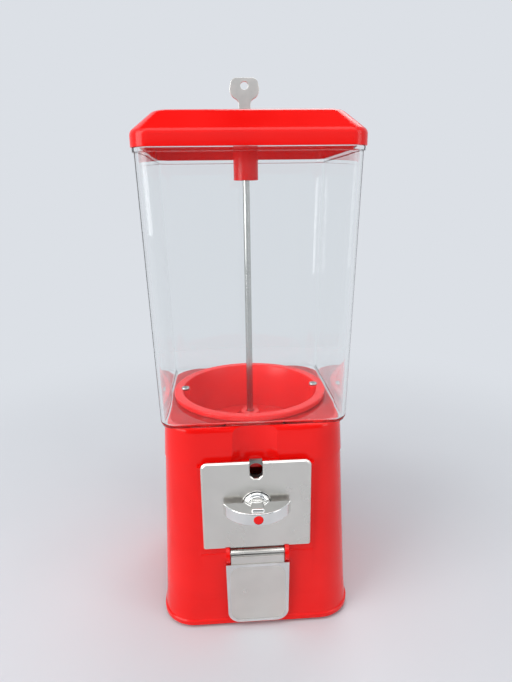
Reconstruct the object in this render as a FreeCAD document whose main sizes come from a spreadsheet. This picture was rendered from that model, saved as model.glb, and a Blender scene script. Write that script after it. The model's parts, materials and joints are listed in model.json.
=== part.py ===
import FreeCAD, Part
import math
import os
import re
import Sketcher

# A square-globe gumball machine. Millimetres, +Z up, the front towards -Y.
# The origin is the centre of the base's underside, on the line of the centre rod.

SIZES = {
    # cast base and its feet
    "base_height": 26.0,
    "base_half": 83.0,
    "base_flare": 1.8,
    "base_rim_reach": 2.7,
    "base_rim_height": 5.5,
    "base_rim_round": 1.0,
    "base_wall": 4.0,
    "base_floor": 2.5,
    "body_corner": 29.0,
    "joint_lip": 5.0,
    "lip_wall": 1.8,
    "joint_gap": 0.3,
    "nut_recess_radius": 13.0,
    "nut_recess_depth": 8.5,
    "stand_hole_radius": 3.25,
    "stand_hole_x": 58.0,
    "stand_hole_y": 48.0,
    "foot_radius": 8.0,
    "foot_height": 2.5,
    "foot_reach": 61.0,
    "foot_stem_radius": 2.5,
    "snug_gap": 0.05,
    "cut_margin": 1.0,
    # tapered body with the raised flat that carries the coin mechanism
    "shell_height": 130.0,
    "shell_half_top": 77.5,
    "shell_wall": 1.8,
    "pad_half": 49.0,
    "pad_setback": 0.6,
    "pad_low": 36.0,
    "pad_wall": 2.0,
    "mouth_half": 23.4,
    "mouth_sill": 8.0,
    "mouth_top": 79.2,
    "flat_web": 16.0,
    "front_opening_top": 152.0,
    "frame_clearance": 0.8,
    # collar under the globe, with the scoop that leads a coin to the slot
    "collar_height": 32.0,
    "collar_step": 0.5,
    "collar_lean": 1.4,
    "collar_wall": 3.0,
    "collar_round": 4.0,
    "deck_hole_radius": 66.4,
    "scoop_radius": 38.0,
    "scoop_depth": 5.5,
    "scoop_back_half": 24.4,
    # clear globe
    "globe_height": 216.7,
    "globe_foot_step": 1.0,
    "globe_half_top": 83.0,
    "globe_corner": 13.0,
    "globe_wall": 2.8,
    "globe_foot_round": 4.5,
    "globe_bead_reach": 1.1,
    "globe_bead_height": 3.2,
    # hopper bowl, its screws and the posts that they stand in
    "bowl_rim_radius": 71.1,
    "bowl_rim_height": 4.6,
    "bowl_mouth_radius": 63.1,
    "bowl_drum_radius": 54.5,
    "bowl_wall": 2.0,
    "bowl_throat": 155.0,
    "bowl_floor_top": 127.9,
    "bowl_floor": 3.0,
    "bowl_screw_reach": 61.0,
    "bowl_screw_radius": 1.6,
    "bowl_screw_head": 3.6,
    "bowl_screw_head_height": 2.6,
    "bowl_post_radius": 4.6,
    "lug_top": 160.0,
    "lug_height": 8.0,
    "lug_half": 7.0,
    "outlet_radius": 13.0,
    # centre rod with its nut and washer
    "rod_radius": 3.0,
    "rod_low": 1.0,
    "rod_top": 411.0,
    "rod_nut_flat": 10.0,
    "rod_nut_height": 5.0,
    "rod_washer_radius": 9.0,
    "rod_washer_height": 1.2,
    "running_gap": 0.08,
    "loose_gap": 0.3,
    # gum wheel and the crown of teeth under it
    "gum_wheel_radius": 54.0,
    "gum_wheel_rise": 0.8,
    "gum_wheel_top": 155.0,
    "gum_wheel_dish": 1.5,
    "gum_hub_low_radius": 14.0,
    "gum_hub_top_radius": 9.0,
    "gum_hub_height": 16.0,
    "gum_hub_round": 1.5,
    "pocket_radius": 12.5,
    "pocket_reach": 28.0,
    "pocket_count": 6.0,
    "crown_inner": 45.0,
    "crown_outer": 52.0,
    "crown_back": 3.1,
    "crown_addendum": 1.1,
    "crown_dedendum": 1.8,
    "crown_tip_half": 0.6,
    "crown_root_half": 1.6,
    # coin plate and the mechanism behind it
    "shaft_height": 121.5,
    "plate_half": 46.0,
    "plate_low": 79.9,
    "plate_top": 160.6,
    "plate_thick": 3.0,
    "plate_corner": 5.5,
    "plate_bevel": 1.4,
    "notch_half": 5.4,
    "notch_low": 145.2,
    "notch_corner": 3.4,
    "notch_bevel": 0.8,
    "stud_radius": 2.0,
    "stud_reach": 42.8,
    "stud_inset": 10.0,
    "stud_length": 6.5,
    "plate_nut_flat": 7.0,
    "plate_nut_height": 3.0,
    "coin_radius": 12.2,
    "coin_reach": 24.0,
    "coin_wheel_radius": 27.0,
    "coin_wheel_thick": 2.1,
    "frame_ring_radius": 38.2,
    "frame_ring_wall": 1.8,
    "frame_wall": 2.5,
    "frame_lip_half": 13.0,
    "frame_lip_drop": 0.8,
    "frame_window_radius": 6.2,
    "frame_window_height": 29.0,
    "frame_ear_x": 33.5,
    "frame_ear_y": 25.0,
    "frame_ear_radius": 4.5,
    "frame_screw_radius": 1.9,
    "frame_screw_head": 3.5,
    "frame_screw_head_height": 2.4,
    "frame_screw_bite": 1.6,
    "bearing_radius": 8.0,
    "bearing_length": 11.2,
    "gate_point": 10.8,
    # crank: shaft, handle, ratchet and pinion
    "shaft_radius": 4.0,
    "shaft_back": 44.3,
    "bushing_radius": 13.0,
    "bushing_flange": 1.5,
    "bushing_dome": 2.6,
    "bushing_nose": 8.2,
    "bushing_sleeve": 6.0,
    "bushing_round": 0.9,
    "handle_gap": 7.6,
    "handle_depth": 18.0,
    "handle_half": 28.2,
    "handle_thick": 10.7,
    "handle_round": 1.8,
    "handle_hub_radius": 6.3,
    "dot_radius": 4.0,
    "dot_depth": 3.6,
    "grub_radius": 2.0,
    "ratchet_tip_radius": 14.0,
    "ratchet_root_radius": 11.2,
    "ratchet_teeth": 12.0,
    "ratchet_thick": 3.0,
    "ratchet_tooth_share": 0.9,
    "tooth_sink": 0.5,
    "gear_module": 1.6,
    "pinion_teeth": 10.0,
    "crown_teeth": 60.0,
    "pinion_width": 6.0,
    "pinion_middle": 48.5,
    "pinion_addendum": 1.5,
    "pinion_dedendum": 1.7,
    "pinion_tip_half": 0.45,
    "pinion_root_half": 1.45,
    "pinion_clearance": 1.5,
    "clip_radius": 6.0,
    "clip_thick": 0.9,
    "clip_bite": 0.7,
    # gravity pawl over the ratchet
    "pawl_x": -21.0,
    "pawl_y": 12.0,
    "pawl_stud_radius": 2.5,
    "pawl_hub_radius": 5.0,
    "pawl_collar_radius": 4.0,
    "pawl_nose": 2.2,
    # chute, coin deflector and flap
    "chute_half": 22.0,
    "chute_wall": 1.4,
    "chute_back": 12.5,
    "chute_turn": 73.0,
    "chute_lip": 9.5,
    "chute_gap": 2.3,
    "chute_throat": 43.0,
    "chute_roof": 66.0,
    "chute_roof_drop": 12.0,
    "roof_ridge": 80.0,
    "roof_back": 45.0,
    "hinge_reach": 1.1,
    "hinge_height": 72.5,
    "hinge_pin_radius": 1.5,
    "lug_radius": 7.6,
    "lug_thick": 3.4,
    "lug_gap": 0.2,
    "lug_clearance": 0.5,
    "flap_barrel_radius": 5.0,
    "flap_rib_depth": 0.7,
    "flap_rib_count": 12.0,
    "flap_gap": 3.7,
    "flap_thick": 1.7,
    "flap_rim": 0.8,
    "flap_rim_width": 2.6,
    "flap_low": 4.2,
    "flap_top": 64.5,
    "flap_half_top": 27.5,
    "flap_half_low": 26.6,
    "flap_corner": 11.0,
    # lid, lock and key
    "lid_overhang": 2.0,
    "lid_skirt": 10.5,
    "lid_rise": 15.4,
    "lid_slope": 16.0,
    "lid_corner": 14.0,
    "lid_top_corner": 8.0,
    "lid_soft": 1.6,
    "lid_wall": 2.2,
    "lid_ledge": 4.5,
    "boss_radius": 10.5,
    "boss_bore": 8.6,
    "boss_length": 45.0,
    "barrel_radius": 8.3,
    "barrel_flange": 11.5,
    "barrel_flange_height": 2.2,
    "plug_radius": 5.5,
    "plug_length": 20.0,
    "lock_nut_radius": 6.4,
    "lock_nut_length": 14.0,
    "key_blade_half": 4.0,
    "key_thick": 2.0,
    "key_blade_length": 16.0,
    "key_stem_half": 5.0,
    "key_stem_height": 13.2,
    "key_bow_half": 12.3,
    "key_bow_height": 17.4,
    "key_bow_low": 3.8,
    "key_bow_shoulder": 7.3,
    "key_bow_top_half": 9.6,
    "key_bow_round": 2.9,
    "key_hole_radius": 3.0,
}

# Sizes that a neighbour sets: what stands on, under or in front of another piece follows it.
FITS = {
    "base_rim_half": "(base_half + base_rim_reach)",
    "pad_front": "(base_half - pad_setback)",
    "chute_front": "(pad_front - chute_gap)",
    "hinge_front": "(pad_front + hinge_reach)",
    "flap_back": "(pad_front + flap_gap)",
    "handle_back": "(pad_front + handle_gap)",
    "handle_front": "(handle_back + handle_depth)",
    "collar_half_low": "(shell_half_top + collar_step)",
    "collar_half_top": "(collar_half_low - collar_lean)",
    "globe_half_low": "(collar_half_top + globe_foot_step)",
    "globe_bead_half": "(globe_half_top + globe_bead_reach)",
    "lid_half": "(globe_half_top + lid_overhang)",
    "lid_top_half": "(lid_half - lid_slope)",
}

doc = FreeCAD.newDocument("gumball_machine")
sheet = doc.addObject("Spreadsheet::Sheet", "Sizes")
for row, (alias, number) in enumerate(SIZES.items(), start=1):
    sheet.set(f"A{row}", str(number))
    sheet.setAlias(f"A{row}", alias)
doc.recompute()

# Heights where one piece stands on the next, from the base's underside up.
SHELL_TOP = "(base_height + shell_height)"
COLLAR_TOP = "(base_height + shell_height + collar_height)"
BOWL_SEAT = f"({COLLAR_TOP} + globe_wall)"
BOWL_RIM_TOP = f"({BOWL_SEAT} + bowl_rim_height)"
GLOBE_TOP = f"({COLLAR_TOP} + globe_height)"
LID_CREASE = f"({GLOBE_TOP} + lid_skirt)"
LID_TOP = f"({LID_CREASE} + lid_rise)"
BARREL_TOP = f"({LID_TOP} + barrel_flange_height)"
WHEEL_LOW = "(bowl_floor_top + gum_wheel_rise)"
PITCH_RADIUS = "(gear_module * pinion_teeth / 2)"
PITCH_LEVEL = f"(shaft_height + {PITCH_RADIUS})"
CROWN_ROOT = f"({PITCH_LEVEL} + crown_dedendum)"

# Distances in front of the rod's axis, through the coin mechanism.
PLATE_FRONT = "(pad_front + plate_thick)"
COIN_WHEEL_FRONT = "(pad_front - loose_gap)"
FRAME_FRONT = "(pad_front - 2 * loose_gap - coin_wheel_thick)"
FRAME_BACK = f"({FRAME_FRONT} - frame_wall)"
RATCHET_FRONT = f"({FRAME_BACK} - bearing_length - loose_gap)"

# How far a quarter round of radius one stands back at the middle of its arc.
ARC_BACK = "(1 - sqrt(0.5))"

parts = []


def expr(text):
    """The text as an expression on the sheet's cells, with the fits written out."""

    def spell(word):
        """One name of the text as its cell, its fit or itself."""
        name = word[0]
        if name in FITS:
            return expr(FITS[name])
        return f"Sizes.{name}" if name in SIZES else name

    return re.sub(r"[a-z_]+", spell, text)


def value(text):
    """What an expression comes to, as a number."""
    return float(sheet.evalExpression(expr(text)))


def part(label, at_shaft=False):
    """A sub-part as an empty body; at_shaft puts its own Z along the crank's axis, towards the front."""
    body = doc.addObject("PartDesign::Body", label)
    body.Label = label
    if at_shaft:
        body.Placement = FreeCAD.Placement(FreeCAD.Vector(), FreeCAD.Rotation(FreeCAD.Vector(1, 0, 0), 90))
        body.setExpression("Placement.Base.z", expr("shaft_height"))
    parts.append(body)
    return body


def sketch(body, name, plane="XY_Plane", level="0"):
    """An empty sketch on one of the body's origin planes, moved along the plane's normal."""
    drawing = body.newObject("Sketcher::SketchObject", f"{body.Label}_{name}")
    support = [feature for feature in body.Origin.OriginFeatures if feature.Role == plane]
    drawing.AttachmentSupport = [(support[0], "")]
    drawing.MapMode = "FlatFace"
    drawing.setExpression("AttachmentOffset.Base.z", expr(level))
    return drawing


def bind(drawing, constraint, text):
    """Add a constraint to a sketch and bind its size to an expression."""
    index = drawing.addConstraint(constraint)
    drawing.setExpression(f"Constraints[{index}]", expr(text))


def fix_point(drawing, geometry, end, x, y):
    """Hold a point at a place measured from the sketch's origin."""
    for kind, axis, text in (("DistanceX", -2, x), ("DistanceY", -1, y)):
        number = value(text)
        if abs(number) < 1e-9:
            drawing.addConstraint(Sketcher.Constraint("PointOnObject", geometry, end, axis))
        elif number > 0:
            bind(drawing, Sketcher.Constraint(kind, -1, 1, geometry, end, number), text)
        else:
            bind(drawing, Sketcher.Constraint(kind, geometry, end, -1, 1, -number), f"-({text})")


def circle(drawing, x, y, radius):
    """Draw a circle."""
    centre = FreeCAD.Vector(value(x), value(y), 0)
    index = drawing.addGeometry(Part.Circle(centre, FreeCAD.Vector(0, 0, 1), value(radius)), False)
    fix_point(drawing, index, 3, x, y)
    bind(drawing, Sketcher.Constraint("Radius", index, value(radius)), radius)


def polygon(drawing, points):
    """Draw a closed outline of straight lines through points given as pairs of expressions."""
    spots = [FreeCAD.Vector(value(x), value(y), 0) for x, y in points]
    lines = [Part.LineSegment(spot, spots[(i + 1) % len(spots)]) for i, spot in enumerate(spots)]
    first = drawing.addGeometry(lines, False)[0]
    for i, (x, y) in enumerate(points):
        after = first + (i + 1) % len(points)
        drawing.addConstraint(Sketcher.Constraint("Coincident", first + i, 2, after, 1))
        fix_point(drawing, first + i, 1, x, y)


def rectangle(drawing, left, right, low, high):
    """Draw a rectangle."""
    polygon(drawing, [(left, low), (right, low), (right, high), (left, high)])


def rounded_rectangle(drawing, half, low, high, corner):
    """Draw a rectangle, even about the sketch's upright axis, with rounded corners."""
    x, y_low, y_high, radius = value(half), value(low), value(high), value(corner)
    corners = ((1, y_low + radius), (1, y_high - radius), (-1, y_high - radius), (-1, y_low + radius))
    arcs = []
    for quarter, (x_sign, y) in enumerate(corners):
        centre = FreeCAD.Vector(x_sign * (x - radius), y, 0)
        angle = math.pi / 2 * (quarter - 1)
        round_edge = Part.Circle(centre, FreeCAD.Vector(0, 0, 1), radius)
        arcs.append(Part.ArcOfCircle(round_edge, angle, angle + math.pi / 2))
    shapes = []
    for quarter, arc in enumerate(arcs):
        shapes.append(Part.LineSegment(arcs[quarter - 1].EndPoint, arc.StartPoint))
        shapes.append(arc)
    first = drawing.addGeometry(shapes, False)[0]
    for i in range(8):
        after = first + (i + 1) % 8
        drawing.addConstraint(Sketcher.Constraint("Tangent", first + i, 2, after, 1))
    for quarter, (x_sign, y) in enumerate(corners):
        arc = first + 2 * quarter + 1
        height = f"{low} + {corner}" if quarter in (0, 3) else f"{high} - ({corner})"
        fix_point(drawing, arc, 3, f"{x_sign} * ({half} - ({corner}))", height)
        bind(drawing, Sketcher.Constraint("Radius", arc, radius), corner)


def rounded_square(drawing, half, corner):
    """Draw a square about the sketch's origin with rounded corners."""
    rounded_rectangle(drawing, half, f"-({half})", half, corner)


def finish(body, feature):
    """Work out a new feature and make it the body's last one."""
    body.Tip = feature
    doc.recompute()
    return feature


def pad(body, drawing, length, reverse=False):
    """Raise a sketch along its plane's normal."""
    feature = body.newObject("PartDesign::Pad", f"{drawing.Name}_pad")
    feature.Profile = drawing
    feature.setExpression("Length", expr(length))
    feature.Reversed = reverse
    return finish(body, feature)


def cut(body, drawing, depth, reverse=False):
    """Sink a sketch against its plane's normal, and make sure that it takes something away."""
    before = body.Shape.Volume
    feature = body.newObject("PartDesign::Pocket", f"{drawing.Name}_cut")
    feature.Profile = drawing
    feature.setExpression("Length", expr(depth))
    feature.Reversed = reverse
    finish(body, feature)
    if not body.Shape.Volume < before:
        raise RuntimeError(f"{feature.Name} cuts nothing")
    return feature


def revolve(body, drawing):
    """Turn a profile about its sketch's upright axis."""
    feature = body.newObject("PartDesign::Revolution", f"{drawing.Name}_turned")
    feature.Profile = drawing
    feature.ReferenceAxis = (drawing, ["V_Axis"])
    feature.Angle = 360
    return finish(body, feature)


def loft(body, name, sections, hollow=False):
    """Join rounded squares, each a level, a half width and a corner radius, into one tapering form."""
    drawings = []
    for number, (level, half, corner) in enumerate(sections):
        drawing = sketch(body, f"{name}_{number}", level=level)
        rounded_square(drawing, half, corner)
        drawings.append(drawing)
    kind = "PartDesign::SubtractiveLoft" if hollow else "PartDesign::AdditiveLoft"
    feature = body.newObject(kind, f"{body.Label}_{name}")
    feature.Profile = drawings[0]
    feature.Sections = drawings[1:]
    feature.Ruled = True
    return finish(body, feature)


def repeat(body, feature, axis_sketch, count):
    """Set a feature round the normal of a sketch as many times as the count says."""
    pattern = body.newObject("PartDesign::PolarPattern", f"{feature.Name}_round")
    pattern.Originals = [feature]
    pattern.Axis = (axis_sketch, ["N_Axis"])
    pattern.Angle = 360
    pattern.setExpression("Occurrences", expr(count))
    return finish(body, pattern)


def pick_edges(body, wanted):
    """Names of the body's edges whose bounding box the test accepts."""
    return [f"Edge{i}" for i, edge in enumerate(body.Shape.Edges, start=1) if wanted(edge.BoundBox)]


def dress(body, kind, wanted, size):
    """Round (Fillet) or bevel (Chamfer) the edges that the test accepts."""
    base = body.Tip
    names = pick_edges(body, wanted)
    if not names:
        raise RuntimeError(f"no edge to dress on {body.Label}")
    feature = body.newObject(f"PartDesign::{kind}", f"{body.Label}_{kind.lower()}")
    feature.Base = (base, names)
    feature.setExpression("Radius" if kind == "Fillet" else "Size", expr(size))
    return finish(body, feature)


def near(number, other):
    """Are two measured numbers the same?"""
    return abs(number - other) < 1e-4


def flat_at(text):
    """A test for edges that lie level at a height."""
    return lambda box: near(box.ZMin, value(text)) and near(box.ZMax, value(text))


def flat_at_front(text):
    """A test for edges that lie in an upright plane at a distance in front of the rod."""
    return lambda box: near(-box.YMin, value(text)) and near(-box.YMax, value(text))


def hexagon(drawing, x, y, across_flats):
    """Draw a hexagon with two flats level."""
    reach = f"(({across_flats}) / sqrt(3))"
    angles = [f"{60 * i} deg" for i in range(6)]
    polygon(drawing, [(f"{x} + {reach} * cos({angle})", f"{y} + {reach} * sin({angle})") for angle in angles])


def make_base_casting():
    """The cast base: a flared skirt on a rim, a floor with a raised seat for the rod, a cut for the chute."""
    body = part("base_casting")
    loft(body, "rim", [
        ("0", "base_rim_half - base_rim_round", "body_corner"),
        ("base_rim_round", "base_rim_half", "body_corner + base_rim_round"),
        ("base_rim_height - base_rim_round", "base_rim_half", "body_corner + base_rim_round"),
        ("base_rim_height", "base_rim_half - base_rim_round", "body_corner"),
    ])
    loft(body, "skirt", [
        ("base_rim_round", "base_half + base_flare", "body_corner"),
        ("base_height", "base_half", "body_corner"),
    ])
    lip_half = "(base_half - shell_wall - joint_gap)"
    lip = sketch(body, "lip", level="base_height")
    rounded_square(lip, lip_half, "body_corner - shell_wall - joint_gap")
    pad(body, lip, "joint_lip")
    hollow = sketch(body, "hollow", level="base_height + joint_lip")
    rounded_square(hollow, f"{lip_half} - lip_wall", "body_corner - base_wall")
    cut(body, hollow, "base_height + joint_lip - base_floor")
    seat = sketch(body, "seat", level="base_floor / 2")
    circle(seat, "0", "0", "nut_recess_radius + base_floor")
    pad(body, seat, "nut_recess_depth + base_floor / 2")
    recess = sketch(body, "recess")
    circle(recess, "0", "0", "nut_recess_radius")
    cut(body, recess, "nut_recess_depth", reverse=True)
    rod_hole = sketch(body, "rod_hole")
    circle(rod_hole, "0", "0", "rod_radius + loose_gap")
    cut(body, rod_hole, "base_height", reverse=True)
    holes = sketch(body, "floor_holes")
    for x_sign in (-1, 1):
        for y_sign in (-1, 1):
            circle(holes, f"{x_sign} * stand_hole_x", f"{y_sign} * stand_hole_y", "stand_hole_radius")
            circle(holes, f"{x_sign} * foot_reach", f"{y_sign} * foot_reach", "foot_stem_radius + snug_gap")
    cut(body, holes, "2 * base_floor", reverse=True)
    mouth = sketch(body, "mouth", "XZ_Plane", "base_rim_half + base_wall")
    rectangle(mouth, "-mouth_half", "mouth_half", "mouth_sill", "base_height + 2 * joint_lip")
    cut(body, mouth, "4 * base_wall")


def make_rubber_feet():
    """Four rubber feet with stems that press into the base's floor."""
    body = part("rubber_feet")
    discs = sketch(body, "discs")
    stems = sketch(body, "stems")
    for x_sign in (-1, 1):
        for y_sign in (-1, 1):
            circle(discs, f"{x_sign} * foot_reach", f"{y_sign} * foot_reach", "foot_radius")
            circle(stems, f"{x_sign} * foot_reach", f"{y_sign} * foot_reach", "foot_stem_radius")
    pad(body, discs, "foot_height", reverse=True)
    pad(body, stems, "base_floor + foot_height / 2")
    dress(body, "Fillet", flat_at("-foot_height"), "foot_height / 3")


def make_body_shell():
    """The tapered body: thin walls, a raised hollow flat at the front and two ears for the flap's pin."""
    body = part("body_shell")
    loft(body, "outside", [
        ("base_height", "base_half", "body_corner"),
        (SHELL_TOP, "shell_half_top", "body_corner"),
    ])
    inner_corner = "body_corner - shell_wall"
    loft(body, "inside", [
        ("base_height", "base_half - shell_wall", inner_corner),
        (SHELL_TOP, "shell_half_top - shell_wall", inner_corner),
    ], hollow=True)
    raised = sketch(body, "raised_flat", "YZ_Plane", "-pad_half")
    wall_low = "(base_half - (pad_low - base_height) * (base_half - shell_half_top) / shell_height)"
    polygon(raised, [
        ("-pad_front", SHELL_TOP),
        ("-pad_front", "pad_low"),
        (f"-({wall_low} - shell_wall / 2)", "pad_low"),
        ("-(shell_half_top - shell_wall / 2)", SHELL_TOP),
    ])
    pad(body, raised, "2 * pad_half")
    for side, start in (("left", "-(mouth_half + lug_gap + lug_thick)"), ("right", "mouth_half + lug_gap")):
        ear = sketch(body, f"{side}_ear", "YZ_Plane", start)
        circle(ear, "-hinge_front", "hinge_height", "lug_radius")
        pad(body, ear, "lug_thick")
    hollow = sketch(body, "flat_hollow", "XZ_Plane", "pad_front - pad_wall")
    inner_half = "(pad_half - pad_wall)"
    rectangle(hollow, f"-{inner_half}", inner_half, "pad_low + flat_web", f"{SHELL_TOP} - pad_wall")
    cut(body, hollow, "6 * pad_wall")
    front = sketch(body, "front_openings", "XZ_Plane", "hinge_front + 2 * lug_radius")
    opening_half = "(frame_ring_radius + frame_clearance)"
    rectangle(front, f"-{opening_half}", opening_half, f"shaft_height - {opening_half}", "front_opening_top")
    cut(body, front, "4 * lug_radius")
    slot = sketch(body, "coin_slot", "XZ_Plane", "hinge_front + 2 * lug_radius")
    slot_half = "(frame_lip_half + frame_clearance)"
    rectangle(slot, f"-{slot_half}", slot_half, "shaft_height", f"{SHELL_TOP} + pad_wall")
    cut(body, slot, "4 * lug_radius")
    mouth = sketch(body, "mouth", "XZ_Plane", "hinge_front + 2 * lug_radius")
    rectangle(mouth, "-mouth_half", "mouth_half", "base_height - pad_wall", "mouth_top")
    cut(body, mouth, "4 * lug_radius")
    pin_hole = sketch(body, "pin_hole", "YZ_Plane", "-pad_half")
    circle(pin_hole, "-hinge_front", "hinge_height", "hinge_pin_radius + snug_gap")
    cut(body, pin_hole, "2 * pad_half", reverse=True)
    studs = sketch(body, "stud_holes", "XZ_Plane", "pad_front + pad_wall")
    for x_sign in (-1, 1):
        for height in ("plate_low + stud_inset", "plate_top - stud_inset - plate_bevel"):
            circle(studs, f"{x_sign} * stud_reach", height, "stud_radius + loose_gap")
    cut(body, studs, "3 * pad_wall")


def make_top_collar():
    """The collar under the globe: a round-shouldered ring with a deck, a coin scoop and two screw lugs."""
    body = part("top_collar")
    arc_back = f"(collar_round * {ARC_BACK})"
    loft(body, "outside", [
        (SHELL_TOP, "collar_half_low", "body_corner"),
        (f"{COLLAR_TOP} - collar_round", "collar_half_top", "body_corner"),
        (f"{COLLAR_TOP} - {arc_back}", f"collar_half_top - {arc_back}", f"body_corner - {arc_back}"),
        (COLLAR_TOP, "collar_half_top - collar_round", "body_corner - collar_round"),
    ])
    inside = sketch(body, "inside", level=SHELL_TOP)
    rounded_square(inside, "collar_half_top - collar_wall - collar_round / 4", "body_corner - collar_wall")
    cut(body, inside, "collar_height - collar_wall", reverse=True)
    lip_half = "(shell_half_top - shell_wall - joint_gap)"
    lip = sketch(body, "lip", level=f"{SHELL_TOP} - joint_lip")
    rounded_square(lip, lip_half, "body_corner - shell_wall - joint_gap")
    rounded_square(lip, f"({lip_half} - 2 * lip_wall)", "body_corner - shell_wall - 2 * lip_wall")
    pad(body, lip, "2 * joint_lip")
    scoop_line = "((collar_half_low + collar_half_top) / 2 + scoop_radius - scoop_depth)"
    backing = sketch(body, "scoop_backing", level=SHELL_TOP)
    back = f"-({scoop_line} - scoop_radius - collar_wall)"
    rectangle(backing, "-scoop_back_half", "scoop_back_half", "-(collar_half_low - collar_wall)", back)
    pad(body, backing, "collar_height - collar_wall / 2")
    scoop = sketch(body, "scoop", level=f"{COLLAR_TOP} + collar_wall")
    circle(scoop, "0", f"-{scoop_line}", "scoop_radius")
    cut(body, scoop, "collar_height + collar_wall")
    deck_hole = sketch(body, "deck_hole", level=f"{COLLAR_TOP} + collar_wall")
    circle(deck_hole, "0", "0", "deck_hole_radius")
    cut(body, deck_hole, "3 * collar_wall")
    lugs = sketch(body, "screw_lugs", level="lug_top")
    lug_in = "(bowl_drum_radius + bowl_wall + 5 * joint_gap)"
    for x_sign in (-1, 1):
        ends = sorted([f"{x_sign} * {lug_in}", f"{x_sign} * ({lip_half} - lip_wall)"], key=value)
        rectangle(lugs, ends[0], ends[1], "-lug_half", "lug_half")
    pad(body, lugs, "lug_height", reverse=True)
    holes = sketch(body, "lug_holes", level="lug_top")
    for x_sign in (-1, 1):
        circle(holes, f"{x_sign} * bowl_screw_reach", "0", "bowl_screw_radius + snug_gap")
    cut(body, holes, "2 * lug_height")


def make_globe():
    """The clear square globe: walls that lean out, a rolled foot, a bead round the mouth, a holed floor."""
    body = part("globe")
    foot_level = f"({COLLAR_TOP} + globe_foot_round)"
    arc_back = f"(globe_foot_round * {ARC_BACK})"
    loft(body, "outside", [
        (COLLAR_TOP, "globe_half_low - globe_foot_round", "globe_corner - globe_foot_round"),
        (f"{COLLAR_TOP} + {arc_back}", f"globe_half_low - {arc_back}", f"globe_corner - {arc_back}"),
        (foot_level, "globe_half_low", "globe_corner"),
        (GLOBE_TOP, "globe_half_top", "globe_corner"),
    ])
    bead = sketch(body, "bead", level=GLOBE_TOP)
    rounded_square(bead, "globe_bead_half", "globe_corner + globe_bead_half - globe_half_top")
    pad(body, bead, "globe_bead_height", reverse=True)
    inner_corner = "(globe_corner - globe_wall)"
    loft(body, "inside", [
        (BOWL_SEAT, "globe_half_low - globe_wall - globe_foot_round / 3", inner_corner),
        (foot_level, "globe_half_low - globe_wall", inner_corner),
        (GLOBE_TOP, "globe_half_top - globe_wall", inner_corner),
    ], hollow=True)
    hole = sketch(body, "floor_hole", level=BOWL_SEAT)
    circle(hole, "0", "0", "deck_hole_radius")
    cut(body, hole, "2 * globe_wall")


def make_hopper_bowl():
    """The hopper: a wide rim over a tapering bowl, a drum round the gum wheel and a floor with one outlet."""
    body = part("hopper_bowl")
    profile = sketch(body, "profile", "XZ_Plane")
    drum_outer = "(bowl_drum_radius + bowl_wall)"
    neck = "(deck_hole_radius - 3 * joint_gap)"
    polygon(profile, [
        ("rod_radius + joint_gap", "bowl_floor_top - bowl_floor"),
        (drum_outer, "bowl_floor_top - bowl_floor"),
        (drum_outer, "bowl_throat"),
        (neck, BOWL_SEAT),
        ("bowl_rim_radius", BOWL_SEAT),
        ("bowl_rim_radius", BOWL_RIM_TOP),
        ("bowl_mouth_radius", BOWL_RIM_TOP),
        ("bowl_drum_radius", "bowl_throat"),
        ("bowl_drum_radius", "bowl_floor_top"),
        ("rod_radius + joint_gap", "bowl_floor_top"),
    ])
    revolve(body, profile)
    posts = sketch(body, "screw_posts", level="lug_top")
    for x_sign in (-1, 1):
        circle(posts, f"{x_sign} * bowl_screw_reach", "0", "bowl_post_radius")
    post_top = f"({BOWL_RIM_TOP} - bowl_screw_head_height)"
    pad(body, posts, f"{post_top} - lug_top")
    seats = sketch(body, "screw_seats", level=BOWL_RIM_TOP)
    for x_sign in (-1, 1):
        circle(seats, f"{x_sign} * bowl_screw_reach", "0", "bowl_screw_head + joint_gap")
    cut(body, seats, "bowl_screw_head_height")
    holes = sketch(body, "screw_holes", level=BOWL_RIM_TOP)
    for x_sign in (-1, 1):
        circle(holes, f"{x_sign} * bowl_screw_reach", "0", "bowl_screw_radius + joint_gap")
    cut(body, holes, f"{BOWL_RIM_TOP} - lug_top + lug_height")
    outlet = sketch(body, "outlet", level="bowl_floor_top")
    circle(outlet, "0", "-pocket_reach", "outlet_radius")
    cut(body, outlet, "2 * bowl_floor")
    slot = sketch(body, "pinion_slot", level="bowl_floor_top")
    slot_half = f"({PITCH_RADIUS} + pinion_addendum + pinion_clearance)"
    slot_back = "-(pinion_middle - pinion_width / 2 - pinion_clearance)"
    rectangle(slot, f"-{slot_half}", slot_half, f"-({drum_outer} + cut_margin)", slot_back)
    cut(body, slot, "2 * bowl_floor")
    dress(body, "Fillet", flat_at(BOWL_RIM_TOP), "bowl_rim_height / 5")


def make_hopper_screws():
    """Two pan-head screws that draw the hopper down on the globe."""
    body = part("hopper_screws")
    head_low = f"({BOWL_RIM_TOP} - bowl_screw_head_height)"
    heads = sketch(body, "heads", level=head_low)
    shanks = sketch(body, "shanks", level=head_low)
    for x_sign in (-1, 1):
        circle(heads, f"{x_sign} * bowl_screw_reach", "0", "bowl_screw_head")
        circle(shanks, f"{x_sign} * bowl_screw_reach", "0", "bowl_screw_radius")
    pad(body, heads, "bowl_screw_head_height")
    pad(body, shanks, f"{head_low} - lug_top + lug_height", reverse=True)
    dress(body, "Fillet", flat_at(BOWL_RIM_TOP), "bowl_screw_head_height / 2")


def make_center_rod():
    """The rod that ties lid, body and base together."""
    body = part("center_rod")
    section = sketch(body, "section", level="rod_low")
    circle(section, "0", "0", "rod_radius")
    pad(body, section, "rod_top - rod_low")
    dress(body, "Chamfer", lambda box: near(box.ZMin, box.ZMax), "rod_radius / 5")


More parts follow.
